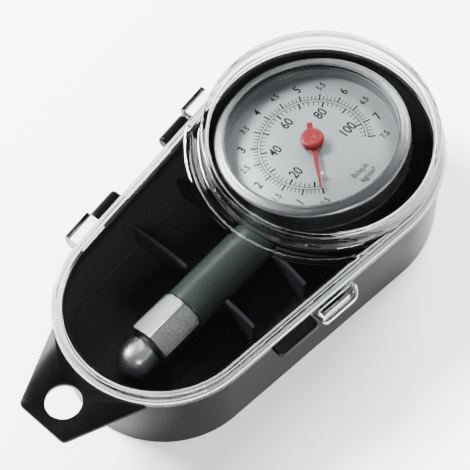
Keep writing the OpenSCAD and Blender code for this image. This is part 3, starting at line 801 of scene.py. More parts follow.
@dataclass
class CaseLid:
    """The clear lid: a flange, a wall, a flat top, a round cup, knuckles and a thumb tab."""

    plan: Outline
    low: float = 25.64
    flange_top: float = 27.1
    top: float = 30.0
    cup_top: float = 36.0
    cup_r: float = 31.5
    wall: float = 1.4
    wall_back: float = 1.2
    tab_out: float = 4.8
    clear: float = 0.03

    def shell(self) -> bpy.types.Object:
        """The lid's body, as loops from the flange's foot over the cup and back inside.

        Loops that follow the edge are the plan moved by an offset. Loops of the cup are circles
        held inside the edge, each a little further than the one outside it.
        """
        loop, ring = self.plan.loop, self.plan.ring
        back, cup, top, high = self.wall_back, self.cup_r, self.top, self.cup_top
        edge_out, edge_in = -back - 0.35, -back - self.wall - 0.25
        flange = self.flange_top
        outer = [
            (0.0, self.low), (0.0, self.low + 0.02), (0.0, flange, 0.3),
            (-back + 0.1, flange, 0.25), (-back - 0.02, top, 0.3), (edge_out - 0.1, top),
        ]
        rows = [loop(d, z) for d, z in rounded(outer)]
        bead = [(36.4, 0.0), (35.9, 0.02), (35.6, 0.28), (34.9, 0.32), (34.6, 0.06), (34.2, 0.0)]
        foot = [(33.2, 0.0), (32.6, 0.05), (32.0, 0.22), (31.65, 0.6), (cup, 1.2), (cup, 2.6)]
        circles = [(r, top + up) for r, up in bead + foot]
        brow = rounded([(cup, high - 3.0), (cup - 0.02, high, 0.75), (cup - 4.0, high)], 8)
        circles += [tuple(p) for p in brow] + [(20.0, high), (8.0, high), (0.0, high)]
        rows += [ring(r, z, edge_out, 0.004 * (k + 1)) for k, (r, z) in enumerate(circles)]
        under, cup_in, top_in = high - self.wall + 0.1, cup - self.wall, top - self.wall
        hollow = rounded([(20.0, under), (cup_in, under, 0.9), (cup_in, top - 0.6)], 6)
        inside = [(0.0, under), (8.0, under)] + [tuple(p) for p in hollow]
        inside += [(cup_in + 0.15, top_in + 0.25), (cup_in + 0.5, top_in)]
        rows += [ring(r, z, edge_in, 0.2 - 0.004 * k) for k, (r, z) in enumerate(inside)]
        wall_in = -back - self.wall
        inner = [(edge_in, top_in), (wall_in, top_in, 0.3), (wall_in, self.low + 0.02)]
        rows += [loop(d, z) for d, z in rounded(inner + [(wall_in, self.low)])]
        return grid_object("lid_shell", np.array(rows), True, 50.0)

    def foot(self, name: str, out: float, inner: float) -> bpy.types.Object:
        """A thin pale band below the lid's wall, between two offsets of the edge: painted
        reflection of the clear rim.
        """
        loop, low, high = self.plan.loop, self.low - 0.04, self.low - 0.02
        rows = [loop(out, low), loop(out, high), loop(inner, high), loop(inner, low)]
        return grid_object(name, np.array(rows), True, 30.0)

    def knuckle(self, middle: float, pin_to: int) -> bpy.types.Object:
        """A hinge knuckle with its stub pin.

        Args:
            middle: Its middle along the side.
            pin_to: -1 or 1, the end that carries the pin.

        Returns:
            The knuckle in the side's own frame.
        """
        h, top, low, soft = HINGE, self.flange_top, self.low - 0.02, 0.5
        far = h.axis_x + h.barrel_r
        section = np.concatenate(
            [
                [[h.axis_x - h.barrel_r, low]],
                arc((h.axis_x, h.axis_z), h.barrel_r, 180, 360, 14),
                [[far, top - soft]],
                arc((far - soft, top - soft), soft, 0, 90, 4),
                [[self.clear, top]],
                [[self.clear, low]],
            ]
        )
        body = prism("knuckle", section, -h.knuckle_length / 2, h.knuckle_length / 2)
        moved(body, upright(middle))
        r, end = h.pin_r, h.pin_length
        profile = [(0, 0), (r, 0), (r, end - 0.1), (r - 0.1, end), (0, end)]
        pin = grid_object("pin", lathe(profile, 32))
        spot = (h.axis_x, middle + pin_to * h.knuckle_length / 2, h.axis_z)
        turn = Matrix.Rotation(-pin_to * math.pi / 2, 4, "X")
        moved(pin, Matrix.Translation(spot) @ turn)
        return joined("knuckle", [body, pin])

    def thumb_tab(self) -> list:
        """The boxed thumb tab: a plate, a raised border and the catch below."""
        length, out, near, far = LATCH.length, self.tab_out, 3.4, 1.2
        low = self.plan.along(LATCH.share) - LATCH.clear - length
        base = self.low - 0.02
        outer = np.concatenate(
            [
                [[self.clear, low]],
                arc((out - near, low + near), near, -90, 0, 10),
                arc((out - far, low + length - far), far, 0, 90, 6),
                [[self.clear, low + length]],
            ]
        )
        inner = np.concatenate(
            [
                [[1.0, low + 1.3]],
                arc((out - near, low + near), 2.2, -90, 0, 10),
                arc((out - 1.6, low + length - 1.6), 0.5, 0, 90, 4),
                [[1.0, low + length - 1.1]],
            ]
        )
        catch = box_plan(1.3, low + 2.2, 2.3, low + length - 2.2)
        return [
            bevelled(prism("thumb_plate", outer, base, 26.5), 0.15),
            bevelled(self.border(outer, inner, 26.52, self.flange_top), 0.12),
            bevelled(prism("thumb_catch", catch, 23.0, base - 0.02), 0.12),
        ]

    def border(self, outer: Array, inner: Array, low: float, high: float) -> bpy.types.Object:
        """A band between two plans; the outer one gives up points until they match."""
        n = len(inner)
        outer = outer[np.linspace(0, len(outer) - 1, n).astype(int)]
        corners = ((outer, low), (outer, high), (inner, high), (inner, low))
        rows = [np.column_stack([plan, np.full(n, z)]) for plan, z in corners]
        return grid_object("thumb_border", np.array(rows), True, 30.0)

    def build(self, shop: Workshop) -> None:
        """Makes and dresses the lid."""
        shop.finish(self.shell(), "lid", "lid", "clear_lid", "clear_lid")
        # Pale opaque bands under the rim: painted reflection of the clear plastic.
        for name, out, inner in (("flange", -0.12, -0.95), ("wall", -1.3, -2.45)):
            foot = self.foot(f"lid_foot_{name}", out, inner)
            shop.finish(foot, "lid_foot", "lid", "clear_lid")
        hinge, latch = map(self.plan.side_matrix, (Side.HINGE, Side.LATCH))
        middle = self.plan.along(HINGE.share)
        for sign in (-1, 1):
            piece = self.knuckle(middle + sign * HINGE.knuckle_middle, -sign)
            piece.name = f"lid_knuckle_{end_name(sign)}"
            bevelled(moved(piece, hinge), 0.12)
            shop.finish(piece, "lid", "lid", "clear_lid")
        for piece in self.thumb_tab():
            shop.finish(moved(piece, latch), "lid", "lid", "clear_lid")


@dataclass
class CaseTray:
    """The black tray: its shell, tab, lugs, ribs, round wall and floor marks."""

    plan: Outline
    height: float = 25.6
    wall: float = 1.8
    floor: float = 1.8
    inset: float = 1.0
    rim_out: float = -2.9
    rim_in: float = -3.7
    rim_top: float = 27.2
    tab_root: float = 16.2
    tab_end: float = 8.2
    sunk: float = 1.6

    def shell(self) -> bpy.types.Object:
        """The tray's wall and floor, as loops.

        They run from the middle of the underside, over the rim, to the middle of the floor.
        """
        out, inner, deep = -self.inset, -self.inset - self.wall, -8.0
        h, rim = self.height, self.rim_top
        section = [
            (deep, 0.0), (out, 0.0, 0.5), (out, h - 0.02, 0.15), (self.rim_out, h - 0.02),
            (self.rim_out, rim, 0.2), (self.rim_in, rim, 0.2), (self.rim_in, h - 3.0, 0.2),
            (inner, h - 3.9, 0.3), (inner, self.floor, 0.5), (deep, self.floor),
        ]
        rows = [self.plan.ring(r, 0.0, deep, 0.2) for r in (0.0, 8.0)]
        rows += [self.plan.loop(d, z) for d, z in rounded(section, 4)]
        rows += [self.plan.ring(r, self.floor, deep, 0.2) for r in (8.0, 0.0)]
        return self.marked(grid_object("tray_shell", np.array(rows), False, 40.0))

    def marked(self, piece: bpy.types.Object) -> bpy.types.Object:
        """Marks the corners that lie within the wall's inner face and above the underside, which
        the material paints lighter as painted light.
        """
        spots = np.empty(3 * len(piece.data.vertices), np.float32)
        piece.data.vertices.foreach_get("co", spots)
        x, y, z = spots.reshape(-1, 3).T / MM
        face = self.plan.reach(-self.inset - self.wall + 0.05, np.arctan2(y, x))
        within = (face > np.hypot(x, y)) & (z > 1.0) & (z < self.height - 1.0)
        return mark_inside(piece, np.where(within, 1.0, 0.0))

    def tab(self) -> bpy.types.Object:
        """The hang tab with its round hole, as loops between the hole and the tab's edge."""
        root, end, corner_r, hole_r = self.tab_root, self.tab_end, 1.6, 4.75
        tail_y = -self.plan.gap
        edge_y = tail_y - self.plan.tail
        end_y, root_y, high_y = edge_y + self.inset - 16.4, edge_y + 4.6, edge_y + 6.6
        hole = np.array([0.0, end_y + 7.9])
        slope = math.atan((root - end) / (root_y - end_y))
        spot = (end - corner_r, end_y + corner_r)
        corner = arc(spot, corner_r, -90, -math.degrees(slope), 8)
        half = root + (high_y - root_y) * math.tan(slope)
        under = arc((0.0, tail_y), self.plan.tail - 1.6, -52.0, -128.0, 24)
        mirrored = corner[::-1] * [-1, 1]
        plan = np.concatenate([corner, [[half, high_y]], under, [[-half, high_y]], mirrored])
        turn = np.linspace(-np.pi, np.pi, 144, endpoint=False)
        way = np.column_stack([np.cos(turn), np.sin(turn)])
        edge = hole + way * self.hit(plan, hole, way)[:, None]
        rim = hole + hole_r * way
        top, low, soft = self.height - 0.03, self.height - 1.6, 0.2
        loops = [
            (rim, soft, top), (edge, -soft, top), (edge, -0.06, top - 0.06),
            (edge, 0, top - soft), (edge, 0, low + soft), (edge, -0.06, low + 0.06),
            (edge, -soft, low), (rim, soft, low), (rim, 0.05, low + 0.05),
            (rim, 0, low + soft), (rim, 0, top - soft), (rim, 0.05, top - 0.05),
        ]
        flat = np.ones((len(way), 1))
        rows = [np.hstack([base + grow * way, z * flat]) for base, grow, z in loops]
        return grid_object("tray_tab", np.array(rows), True, 45.0)

    def hit(self, plan: Array, origin: Array, way: Array) -> Array:
        """Distance along each way from origin to a closed plan that goes all round it.

        For each side p to q, solves origin + t way = p + s (q - p), and keeps the nearest t > 0
        whose s lies between 0 and 1.
        """
        p, side = plan, np.roll(plan, -1, 0) - plan
        det = way[:, None, 0] * side[None, :, 1] - way[:, None, 1] * side[None, :, 0]
        det = np.where(np.abs(det) < 1e-12, 1e-12, det)
        gap = p[None] - origin
        t = (gap[..., 0] * side[None, :, 1] - gap[..., 1] * side[None, :, 0]) / det
        s = (gap[..., 0] * way[:, None, 1] - gap[..., 1] * way[:, None, 0]) / det
        good = (t > 0) & (s >= -1e-9) & (s <= 1 + 1e-9)
        return np.where(good, t, np.inf).min(1)

    def lugs(self) -> list:
        """Two hinge lugs and the thumb lug."""
        out, root, h = [], -1.2, HINGE
        hinge, latch = map(self.plan.side_matrix, (Side.HINGE, Side.LATCH))
        low = h.axis_z - h.barrel_r
        face = arc((h.axis_x, h.axis_z), h.barrel_r, 270, 450, 24)
        section = np.concatenate([[[root, 25.2], [root, low]], face])
        for sign in (-1, 1):
            half = h.lug_length / 2
            lug = prism(f"tray_lug_{end_name(sign)}", section, -half, half)
            stand = upright(self.plan.along(h.share) + sign * h.lug_middle)
            out.append(bevelled(moved(lug, hinge @ stand), 0.8, 4))
        middle, length, r, reach = self.plan.along(LATCH.share), LATCH.length, 1.4, 1.7
        low = middle + LATCH.clear
        plan = np.concatenate(
            [
                [[root, low]],
                arc((reach, low + r), r, -90, 0, 6),
                arc((reach, low + length - r), r, 0, 90, 6),
                [[root, low + length]],
            ]
        )
        out.append(bevelled(moved(prism("tray_thumb_lug", plan, 22.7, 25.4), latch), 0.6, 3))
        return out

    def nib(self) -> bpy.types.Object:
        """The nib that the thumb tab's catch snaps over."""
        middle = self.plan.along(LATCH.share)
        plan = box_plan(-1.3, middle - 10.5, 1.1, middle - 3.3)
        piece = moved(prism("tray_nib", plan, 23.3, 24.9), self.plan.side_matrix(Side.LATCH))
        return bevelled(piece, 0.15)

    def ribs(self) -> list:
        """The four ribs beside the stem."""
        out, near, half, top = [], 7.4, 0.55, 13.0
        for k, (y, latch_end) in enumerate(((-46.2, 18.0), (-28.2, 19.8))):
            reach = float(self.plan.reach(-2.6, np.array([math.atan2(y, -27.0)]))[0])
            hinge_end = -math.sqrt(max(reach**2 - y**2, 0))
            for name, x0, x1 in (("hinge", hinge_end, -near), ("latch", near, latch_end)):
                plan = box_plan(x0, y - half, x1, y + half)
                out.append(bevelled(prism(f"tray_rib_{name}_{k}", plan, self.sunk, top), 0.25, 2))
        return out

    def round_wall(self) -> list:
        """The low wall that follows the gauge's head, in two arcs, and its gusset."""
        out, top, thick, face, back = [], 14.0, 0.55, 27.0, 28.3
        for k, (start, end) in enumerate(((-155.0, -105.4), (-74.6, -25.0))):
            sides = [arc((0, 0), back, start, end, 40), arc((0, 0), face, end, start, 40)]
            wall = prism(f"tray_round_wall_{k}", np.concatenate(sides), self.sunk, top)
            out.append(bevelled(wall, 0.2, 2))
        side = np.array([[27.4, self.sunk], [30.9, self.sunk], [27.4, top]])
        gusset = prism("tray_gusset", side, -thick, thick)
        stand = Matrix.Rotation(math.radians(-44), 4, "Z") @ Matrix.Rotation(math.pi / 2, 4, "X")
        out.append(bevelled(moved(gusset, stand), 0.15, 2))
        return out

    def floor_marks(self) -> list:
        """The raised pad under the nut and the round ejector marks."""
        low = self.sunk
        half = np.array([[9.4, -55.6], [9.4, -68.1], [7.2, -69.4]])
        pad = np.concatenate([half[:1] * [-1, 1], half, half[:0:-1] * [-1, 1]])
        out = [bevelled(prism("tray_pad", pad, low, 2.2), 0.2, 2)]
        profile = [
            (0, low), (2.9, low), (2.9, 1.95), (2.75, 2.0), (2.5, 2.0), (2.4, 1.9), (0, 1.9)
        ]
        spots = [(side * x, y) for side in (-1, 1) for x, y in ((20.3, -39.4), (18.4, -58.6))]
        for k, spot in enumerate(spots):
            mark = grid_object(f"tray_mark_{k}", lathe(profile, 48))
            out.append(moved(mark, Matrix.Translation((*spot, 0))))
        return out

    def build(self, shop: Workshop) -> None:
        """Makes and dresses the tray."""
        shop.finish(self.shell(), "tray", "case_and_gauge", "case_tray", "case_tray")
        extras = [self.tab()] + self.lugs() + self.ribs() + self.round_wall()
        for piece in extras + self.floor_marks() + [self.nib()]:
            shop.finish(self.marked(piece), "tray", "case_and_gauge", "case_tray")


# ------------------------------------------------------------------ the gauge


@dataclass
class Tilt:
    """How the gauge lies: leaning about its stem, at the stem's height."""

    lean: float = 9.3
    stem_z: float = 9.4

    def matrix(self) -> Matrix:
        """From the gauge's frame to the case's."""
        lean = Matrix.Rotation(math.radians(-self.lean), 4, "Y")
        return Matrix.Translation((0, 0, self.stem_z)) @ lean

    def along(self) -> Matrix:
        """From a profile turned about Z to one turned about the stem, with Z running down it."""
        return self.matrix() @ Matrix.Rotation(math.pi / 2, 4, "X")


@dataclass
class GaugeHead:
    """Bezel, shell, window and the dial with its print."""

    tilt: Tilt
    dial_z: float = 16.2
    lip: float = 20.95
    bezel_r: float = 26.2
    bezel_h: float = 7.35
    open_r: float = 23.1
    shell_r: float = 24.4

    def turned(self, name: str, profile: list, steps: int, count: int = 192) -> bpy.types.Object:
        """A lathe piece about the dial's axis, closed from its last point to its first."""
        piece = grid_object(name, lathe(rounded(profile, steps), count), True)
        return moved(piece, self.tilt.matrix())

    def bezel(self) -> bpy.types.Object:
        """The ring: a rolled inner lip, a domed face and a grooved straight wall."""
        lip, r, low = self.lip, self.bezel_r, self.lip - self.bezel_h
        hole, back = self.open_r, self.shell_r + 0.3
        profile = [
            (back, lip - 0.02), (hole, lip - 0.02), (hole, lip + 0.4, 0.18),
            (hole + 0.7, lip + 0.38, 0.2), (hole + 1.1, lip + 0.2, 0.15),
            (r - 0.9, lip - 0.05, 0.4), (r - 0.1, lip - 0.55, 0.45), (r, lip - 1.6, 0.5),
            (r, low + 1.2, 0.1), (r - 0.12, low + 1.0, 0.1), (r, low + 0.8, 0.1),
            (r, low, 0.3), (self.shell_r + 0.15, low), (self.shell_r + 0.15, low + 0.8),
            (back, low + 1.1),
        ]
        return self.turned("bezel", profile, 5, 256)

    def window(self) -> bpy.types.Object:
        """The clear disc, a little domed on top."""
        top, low = self.lip - 0.05, self.lip - 1.25
        profile = rounded([(0, low), (24.3, low, 0.1), (24.3, top, 0.1), (0, top)], 3)
        piece = grid_object("window_disc", lathe(profile, 192), False, 40.0)
        return moved(piece, self.tilt.matrix())

    def dial(self) -> bpy.types.Object:
        """The dial: a disc with a hole for the pointer's arbor and a rounded edge."""
        z, hole, edge = self.dial_z, 2.6, 22.8
        profile = [
            (hole, z - 0.4), (edge, z - 0.4), (edge, z - 0.05, 0.05), (edge - 0.1, z),
            (hole + 0.1, z), (hole, z - 0.1),
        ]
        return self.turned("dial_disc", profile, 2)

    def surround(self) -> bpy.types.Object:
        """The silver ring between the dial's edge and the window, drawn in towards the dial; its
        darker paint is painted shade.
        """
        z, top = self.dial_z + 0.02, self.lip - 1.35
        profile = [(22.6, z), (22.95, top, 0.2), (23.2, top), (23.2, z)]
        return self.turned("dial_surround", profile, 3)

    def build(self, shop: Workshop) -> None:
        """Makes and dresses the head."""
        body = "case_and_gauge"
        shop.finish(self.bezel(), "bezel", body, "bezel_ring", "bezel_ring")
        shop.finish(self.window(), "window", body, "window", "window")
        shop.finish(self.dial(), "dial", body, "dial_plate", "dial_plate")
        shop.finish(self.surround(), "surround", body, "dial_plate")
        shop.refine("gauge_shell", "shell", 0.2)
        shop.refine("window_gasket", "rubber", 0.0)
        shop.refine("stop_pin", "pale", 0.1)


@dataclass
class DialPrint:
    """The dial's two scales, their numbers and the names of their units."""

    tilt: Tilt
    face: float = 16.2
    raised: float = 0.015
    start: float = -38.5
    sweep: float = -275.0
    split: float = 14.45
    first: float = 0.5
    last: float = 7.5
    pounds: float = 14.223  # lb/sq.in in one kg/cm²

    @property
    def levels(self) -> tuple[float, float]:
        """The print's underside, just clear of the dial, and its top."""
        return self.face + 0.003, self.face + self.raised

    def turn(self, mark: Array | float) -> Array | float:
        """Direction, in degrees, of a mark of the outer scale."""
        return self.start + self.sweep * (mark - self.first) / (self.last - self.first)

    def strokes(
        self, turns: Array, inner: Array, outer: Array, width: Array
    ) -> tuple[Array, list]:
        """Radial ticks as thin boxes.

        A tick's eight corners are its middle line's two ends, moved sideways by half its width,
        at the face and at the print's height.

        Args:
            turns: Directions in degrees.
            inner: Inner radii.
            outer: Outer radii.
            width: Widths.

        Returns:
            Corners and faces.
        """
        t = np.radians(turns)
        way = np.column_stack([np.cos(t), np.sin(t)])
        side = np.column_stack([-np.sin(t), np.cos(t)]) * (width / 2)[:, None]
        near, far = way * inner[:, None], way * outer[:, None]
        plan = np.stack([near - side, far - side, far + side, near + side], 1)
        sheets = [np.concatenate([plan, np.full((*plan.shape[:2], 1), z)], 2) for z in self.levels]
        corners = np.concatenate(sheets, 1).reshape(-1, 3)
        walls = [[k, (k + 1) % 4, (k + 1) % 4 + 4, k + 4] for k in range(4)]
        box = np.array([[3, 2, 1, 0], [4, 5, 6, 7]] + walls)
        faces = (box[None] + 8 * np.arange(len(turns))[:, None, None]).reshape(-1, 4).tolist()
        return corners, faces

    def outer_scale(self) -> bpy.types.Object:
        """Ticks each 0.1 of the outer scale, longer and wider at each half."""
        k = np.arange(71)
        major = k % 5 == 0
        inner, outer = np.full(len(k), self.split + 0.3), np.where(major, 16.7, 16.15)
        turns = self.turn(self.first + k / 10)
        ticks = self.strokes(turns, inner, outer, np.where(major, 0.46, 0.24))
        return mesh_object("print_outer_ticks", *ticks)

    def inner_scale(self) -> bpy.types.Object:
        """Ticks each 2 of the inner scale, from 8 to 106, longer and wider at each 10."""
        marks = np.arange(8, 107, 2)
        major = marks % 10 == 0
        inner, outer = np.where(major, 12.3, 12.8), np.full(len(marks), self.split - 0.3)
        turns = self.turn(marks / self.pounds)
        ticks = self.strokes(turns, inner, outer, np.where(major, 0.5, 0.26))
        return mesh_object("print_inner_ticks", *ticks)

    def line(self, name: str, radius: float, width: float) -> bpy.types.Object:
        """A printed arc along the sweep: a small rectangle carried round the dial's axis."""
        t = np.radians(self.start + self.sweep * np.linspace(-0.004, 1.004, 181))[:, None]
        low, high = self.levels
        r = np.array([radius, radius + width, radius + width, radius])
        z = np.array([low, low, high, high])
        grid = np.stack([r * np.cos(t), r * np.sin(t), z + 0 * t], -1)
        ends = [[0, 1, 2, 3], [4 * len(t) - 1 - q for q in range(4)]]
        return mesh_object(name, grid.reshape(-1, 3), grid_faces(len(t), 4, False) + ends)

    def words(
        self, name: str, text: str, size: float, spot: tuple[float, float], squeeze: float = 0.82
    ) -> bpy.types.Object:
        """Printed text, centred on a spot of the dial and read towards +Y.

        Args:
            name: The piece's name.
            text: What it says.
            size: Height of its figures, in millimetres.
            spot: Its middle on the dial.
            squeeze: Width of the letters against their usual width.

        Returns:
            The text as a mesh.
        """
        curve = bpy.data.curves.new(name, "FONT")
        curve.body = text
        curve.size = size / CAPITAL
        curve.align_x, curve.align_y = "CENTER", "CENTER"
        curve.extrude = self.raised / 2
        curve.offset = 0.028 * size
        curve.resolution_u = 4
        source = placed(name, curve)
        bpy.context.view_layer.update()
        mesh = bpy.data.meshes.new_from_object(source)
        bpy.data.objects.remove(source)
        mesh.transform(Matrix.Diagonal((squeeze * MM, MM, MM, 1)))
        turn = Matrix.Rotation(math.pi / 2, 4, "Z")
        place = Matrix.Translation((*spot, self.levels[0] + self.raised / 2))
        return moved(placed(name, mesh), place @ turn)

    def numbers(self) -> list:
        """All the numbers and both unit names."""
        out = []
        for k in range(15):
            mark, whole = self.first + 0.5 * k, k % 2 == 1
            r, size, digits = (18.9, 2.5, 0) if whole else (19.2, 1.8, 1)
            out.append(self.words(f"print_{k}", f"{mark:.{digits}f}", size, self.spot(mark, r)))
        for mark in range(20, 101, 20):
            spot = self.spot(mark / self.pounds, 10.1)
            out.append(self.words(f"print_{mark}", str(mark), 2.9, spot, 0.78))
        out.append(self.words("print_unit_a", "lb/sq.in", 1.7, (15.6, 1.0)))
        out.append(self.words("print_unit_b", "kg/cm²", 1.7, (18.3, 1.4)))
        return out

    def spot(self, mark: float, radius: float) -> tuple[float, float]:
        """The place on the dial of a mark of the outer scale."""
        turn = math.radians(self.turn(mark))
        return radius * math.cos(turn), radius * math.sin(turn)

    def build(self, shop: Workshop) -> None:
        """Makes and dresses the print as one piece."""
        pieces = [self.outer_scale(), self.inner_scale()]
        pieces.append(self.line("print_line_a", self.split + 0.25, 0.2))
        pieces.append(self.line("print_line_b", self.split - 0.45, 0.2))
        pieces += self.numbers()
        whole = moved(joined("dial_print", pieces), self.tilt.matrix())
        shop.finish(whole, "ink", "case_and_gauge", "dial_plate")


@dataclass
class PointerTrain:
    """The red pointer, its cap and its collar."""

    tilt: Tilt
    base: float = 17.6
    blade_h: float = 0.4
    length: float = 16.0
    tail: float = 5.9
    cap_r: float = 3.2
    cap_h: float = 1.4
    rest: float = -40.0

    def blade(self) -> bpy.types.Object:
        """A slim blade that tapers to its tip, with a square tail."""
        tail, tip = -self.tail, self.length
        half = np.array([[tail, -0.7], [tail + 0.15, -0.8], [0, -0.85], [tip - 0.5, -0.24]])
        plan = np.concatenate([half, [[tip, 0]], half[::-1] * [1, -1]])
        piece = prism("pointer_blade", plan, self.base, self.base + self.blade_h)
        turn = Matrix.Rotation(math.radians(self.rest), 4, "Z")
        return bevelled(moved(piece, self.tilt.matrix() @ turn), 0.08)

    def cap(self) -> bpy.types.Object:
        """The round cap, with a small dimple in its dome."""
        z, r = self.base + self.blade_h, self.cap_r
        top = z + self.cap_h
        profile = [
            (0, z), (r, z), (r, top - 0.3, 0.5), (r - 0.7, top, 0.35), (0.9, top, 0.2),
            (0.6, top - 0.12, 0.1), (0, top - 0.14),
        ]
        dome = grid_object("pointer_dome", lathe(rounded(profile, 5), 96), False, 50.0)
        return moved(dome, self.tilt.matrix())

    def build(self, shop: Workshop) -> None:
        """Makes and dresses the pointer and what turns with it."""
        shop.finish(self.blade(), "red", "pointer_train", "pointer", "pointer")
        shop.finish(self.cap(), "red", "pointer_train", "pointer_cap", "pointer_cap")
        shop.refine("pointer_collar", "collar", 0.1)
        shop.refine("pinion_arbor", "brass", 0.0)


@dataclass
class StemAndChuck:
    """The dark stem, the six-sided nut, the neck and the chrome nose."""

    tilt: Tilt
    bore_r: float = 2.06
    sleeve_r: float = 6.5
    head_y: float = 25.0
    nut_y: float = 54.4
    nut_len: float = 13.0
    nut_r: float = 7.0
    neck_len: float = 1.3

    def turned(self, name: str, profile: Array, count: int) -> bpy.types.Object:
        """A closed lathe piece about the stem; heights run from the head's axis to the nose."""
        return moved(grid_object(name, lathe(profile, count), True, 40.0), self.tilt.along())

    def sleeve(self) -> bpy.types.Object:
        """The stem's sleeve, with a soft edge at both ends."""
        bore, r, a, b = self.bore_r, self.sleeve_r, self.head_y, self.nut_y - 0.05
        profile = rounded([(bore, a), (r, a, 0.3), (r, b, 0.3), (bore, b)], 4)
        return self.turned("stem_body", profile, 128)

    def nut(self) -> bpy.types.Object:
        """The nut: six flats cut by a cone at the stem's end.

        The section's radius at direction t is the hexagon's, flat / cos(t - middle of the flat),
        held inside a circle that shrinks towards the chamfered end.
        """
        turns = np.linspace(0, 2 * np.pi, 240, endpoint=False)
        flat = self.nut_r * math.cos(math.pi / 6)
        offset = (turns + math.radians(45)) % (math.pi / 3) - math.pi / 6
        hexagon = flat / np.cos(offset)
        bore, far, near = self.bore_r, self.nut_y, self.nut_y + self.nut_len
        stations = [
            (bore, far), (5.6, far), (6.0, far + 0.02), (6.35, far + 0.25), (6.7, far + 0.62),
            (7.2, far + 1.2), (7.2, near - 0.25), (6.85, near - 0.05), (6.6, near), (bore, near),
        ]
        rows = [level_loop(np.minimum(hexagon, limit), turns, y) for limit, y in stations]
        return moved(grid_object("stem_nut", np.array(rows), True, 22.0), self.tilt.along())

    def neck(self) -> bpy.types.Object:
        """The dark ring between the nut and the nose."""
        bore, a = self.bore_r, self.nut_y + self.nut_len
        b = a + self.neck_len
        profile = np.array([(bore, a), (3.6, a), (3.45, (a + b) / 2), (3.6, b), (bore, b)])
        return self.turned("neck_ring", profile, 64)

    def build(self, shop: Workshop) -> None:
        """Makes and dresses the stem and the chuck."""
        body = "case_and_gauge"
        shop.finish(self.sleeve(), "stem", body, "stem_sleeve", "stem_sleeve")
        shop.finish(self.nut(), "nut", body, "ferrule", "ferrule")
        shop.finish(self.neck(), "rubber", body, "chuck_neck", "chuck_neck")
        shop.refine("chuck_nose", "nose", 0.0)
        shop.refine("chuck_seal", "rubber", 0.1)
        shop.refine("depressor", "brass", 0.05)
        shop.refine("stem_tube", "brass", 0.0)


@dataclass
class Movement:
    """The sealed works under the dial."""

    edge: float = 0.06

    def build(self, shop: Workshop) -> None:
        """Dresses every piece of the works; the cast and stamped plates get softened edges."""
        soft = ("socket_block", "lower_plate", "upper_plate")
        finishes = {
            "sector_gear": "brass", "lower_plate": "brass", "upper_plate": "brass",
            "plate_pillars": "brass", "socket_block": "brass", "tube_tip": "brass",
            "bourdon_tube": "bronze", "sector_arbor": "steel", "link": "steel",
            "tail_pin": "steel", "plate_screws": "steel", "block_screws": "steel",
            "hairspring": "blued",
        }
        for node, finish in finishes.items():
            shop.refine(node, finish, self.edge if node in soft else 0.0)


# ------------------------------------------------------------------ studio


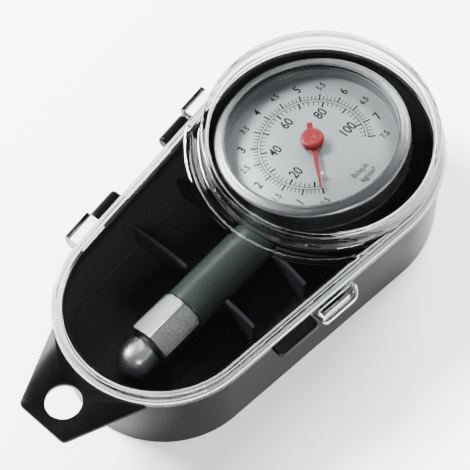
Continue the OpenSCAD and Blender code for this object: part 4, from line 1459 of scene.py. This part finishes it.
@dataclass
class Studio:
    """The floor, the lights, the surrounding light and the camera."""

    lens: float = 155.3
    sensor: float = 36.0
    camera_spot: tuple[float, float, float] = (0.17256, -0.21012, 0.48861)
    heading: float = 44.337
    dip: float = 61.954
    roll: float = -2.133

    def floor(self) -> None:
        """A pale flat floor, a hair below the case."""
        s = Shader("pale floor")
        grain = s.noise(900.0, 2.0)
        colour = s.blend(s.noise(4.0, 2.0).ramp(0.3, 0.7), (0.93,) * 3, (0.95,) * 3)
        surface = s.principled(Base_Color=colour, Roughness=0.7, Normal=s.bump(grain, 0.01))
        material = s.done(surface)
        half = 4000
        corners = np.column_stack([box_plan(-half, -half, half, half), np.zeros(4)])
        piece = mesh_object("floor", corners, [[0, 1, 2, 3]])
        piece.location.z = -0.02 * MM
        piece.data.materials.append(material)

    def lamp(self, name: str, spot: tuple, size: tuple, power: float) -> None:
        """A rectangular soft lamp that faces the middle of the case.

        Args:
            name: The lamp's name.
            spot: Its place, in metres.
            size: Its width and height, in metres.
            power: Its power in watts.
        """
        data = bpy.data.lights.new(name, "AREA")
        data.shape = "RECTANGLE"
        data.size, data.size_y = size
        data.energy = power
        way = Vector(spot) - Vector((0, -0.03, 0.01))
        turn = way.to_track_quat("Z", "Y").to_matrix().to_4x4()
        placed(name, data).matrix_world = Matrix.Translation(spot) @ turn

    def world(self) -> None:
        """Surrounding light: a bright band 10 to 22 degrees above level, dark overhead."""
        s = Shader("studio", True)
        levels = [
            (0.0, 0.2), (0.08, 0.25), (0.18, 1.1), (0.38, 1.1), (0.55, 0.35), (0.68, 0.04),
            (1.0, 0.03),
        ]
        stops = [(height, (level, level, level * 1.01)) for height, level in levels]
        way = s.add("ShaderNodeTexCoord", {}, {}, "Generated")
        height = s.add("ShaderNodeSeparateXYZ", {}, {0: way}, "Z")
        colour = s.add("ShaderNodeValToRGB", {"stops": stops}, {0: height})
        light = s.add("ShaderNodeBackground", {}, {"Color": colour, "Strength": 1.9})
        bpy.context.scene.world = s.done(light)

    def camera(self) -> None:
        """The camera: turned left by heading, then down to dip below level, then rolled."""
        data = bpy.data.cameras.new("camera")
        data.lens, data.sensor_width = self.lens, self.sensor
        data.clip_start, data.clip_end = 0.01, 20.0
        turns = ((self.heading, "Z"), (90.0 - self.dip, "X"), (self.roll, "Z"))
        matrix = Matrix.Translation(self.camera_spot)
        for degrees, axis in turns:
            matrix = matrix @ Matrix.Rotation(math.radians(degrees), 4, axis)
        camera = placed("camera", data)
        camera.matrix_world = matrix
        bpy.context.scene.camera = camera

    def build(self) -> None:
        """Makes the floor, the lights and the camera."""
        self.floor()
        self.world()
        self.camera()
        self.lamp("back", (-0.25, 0.88, 0.60), (0.6, 0.35), 44.0)
        self.lamp("right", (0.75, -0.35, 0.62), (0.3, 0.3), 15.0)
        self.lamp("left", (-0.88, -0.20, 0.68), (0.5, 0.35), 105.0)


def main() -> None:
    """Builds everything in order."""
    logging.basicConfig(level=logging.INFO, format="%(name)s %(message)s")
    Studio().build()
    shop = Workshop(Finishes().built())
    plan, tilt = Outline(), Tilt()
    CaseTray(plan).build(shop)
    CaseLid(plan).build(shop)
    GaugeHead(tilt).build(shop)
    DialPrint(tilt).build(shop)
    PointerTrain(tilt).build(shop)
    StemAndChuck(tilt).build(shop)
    Movement().build(shop)
    bpy.context.view_layer.update()


if __name__ == "__main__":
    main()
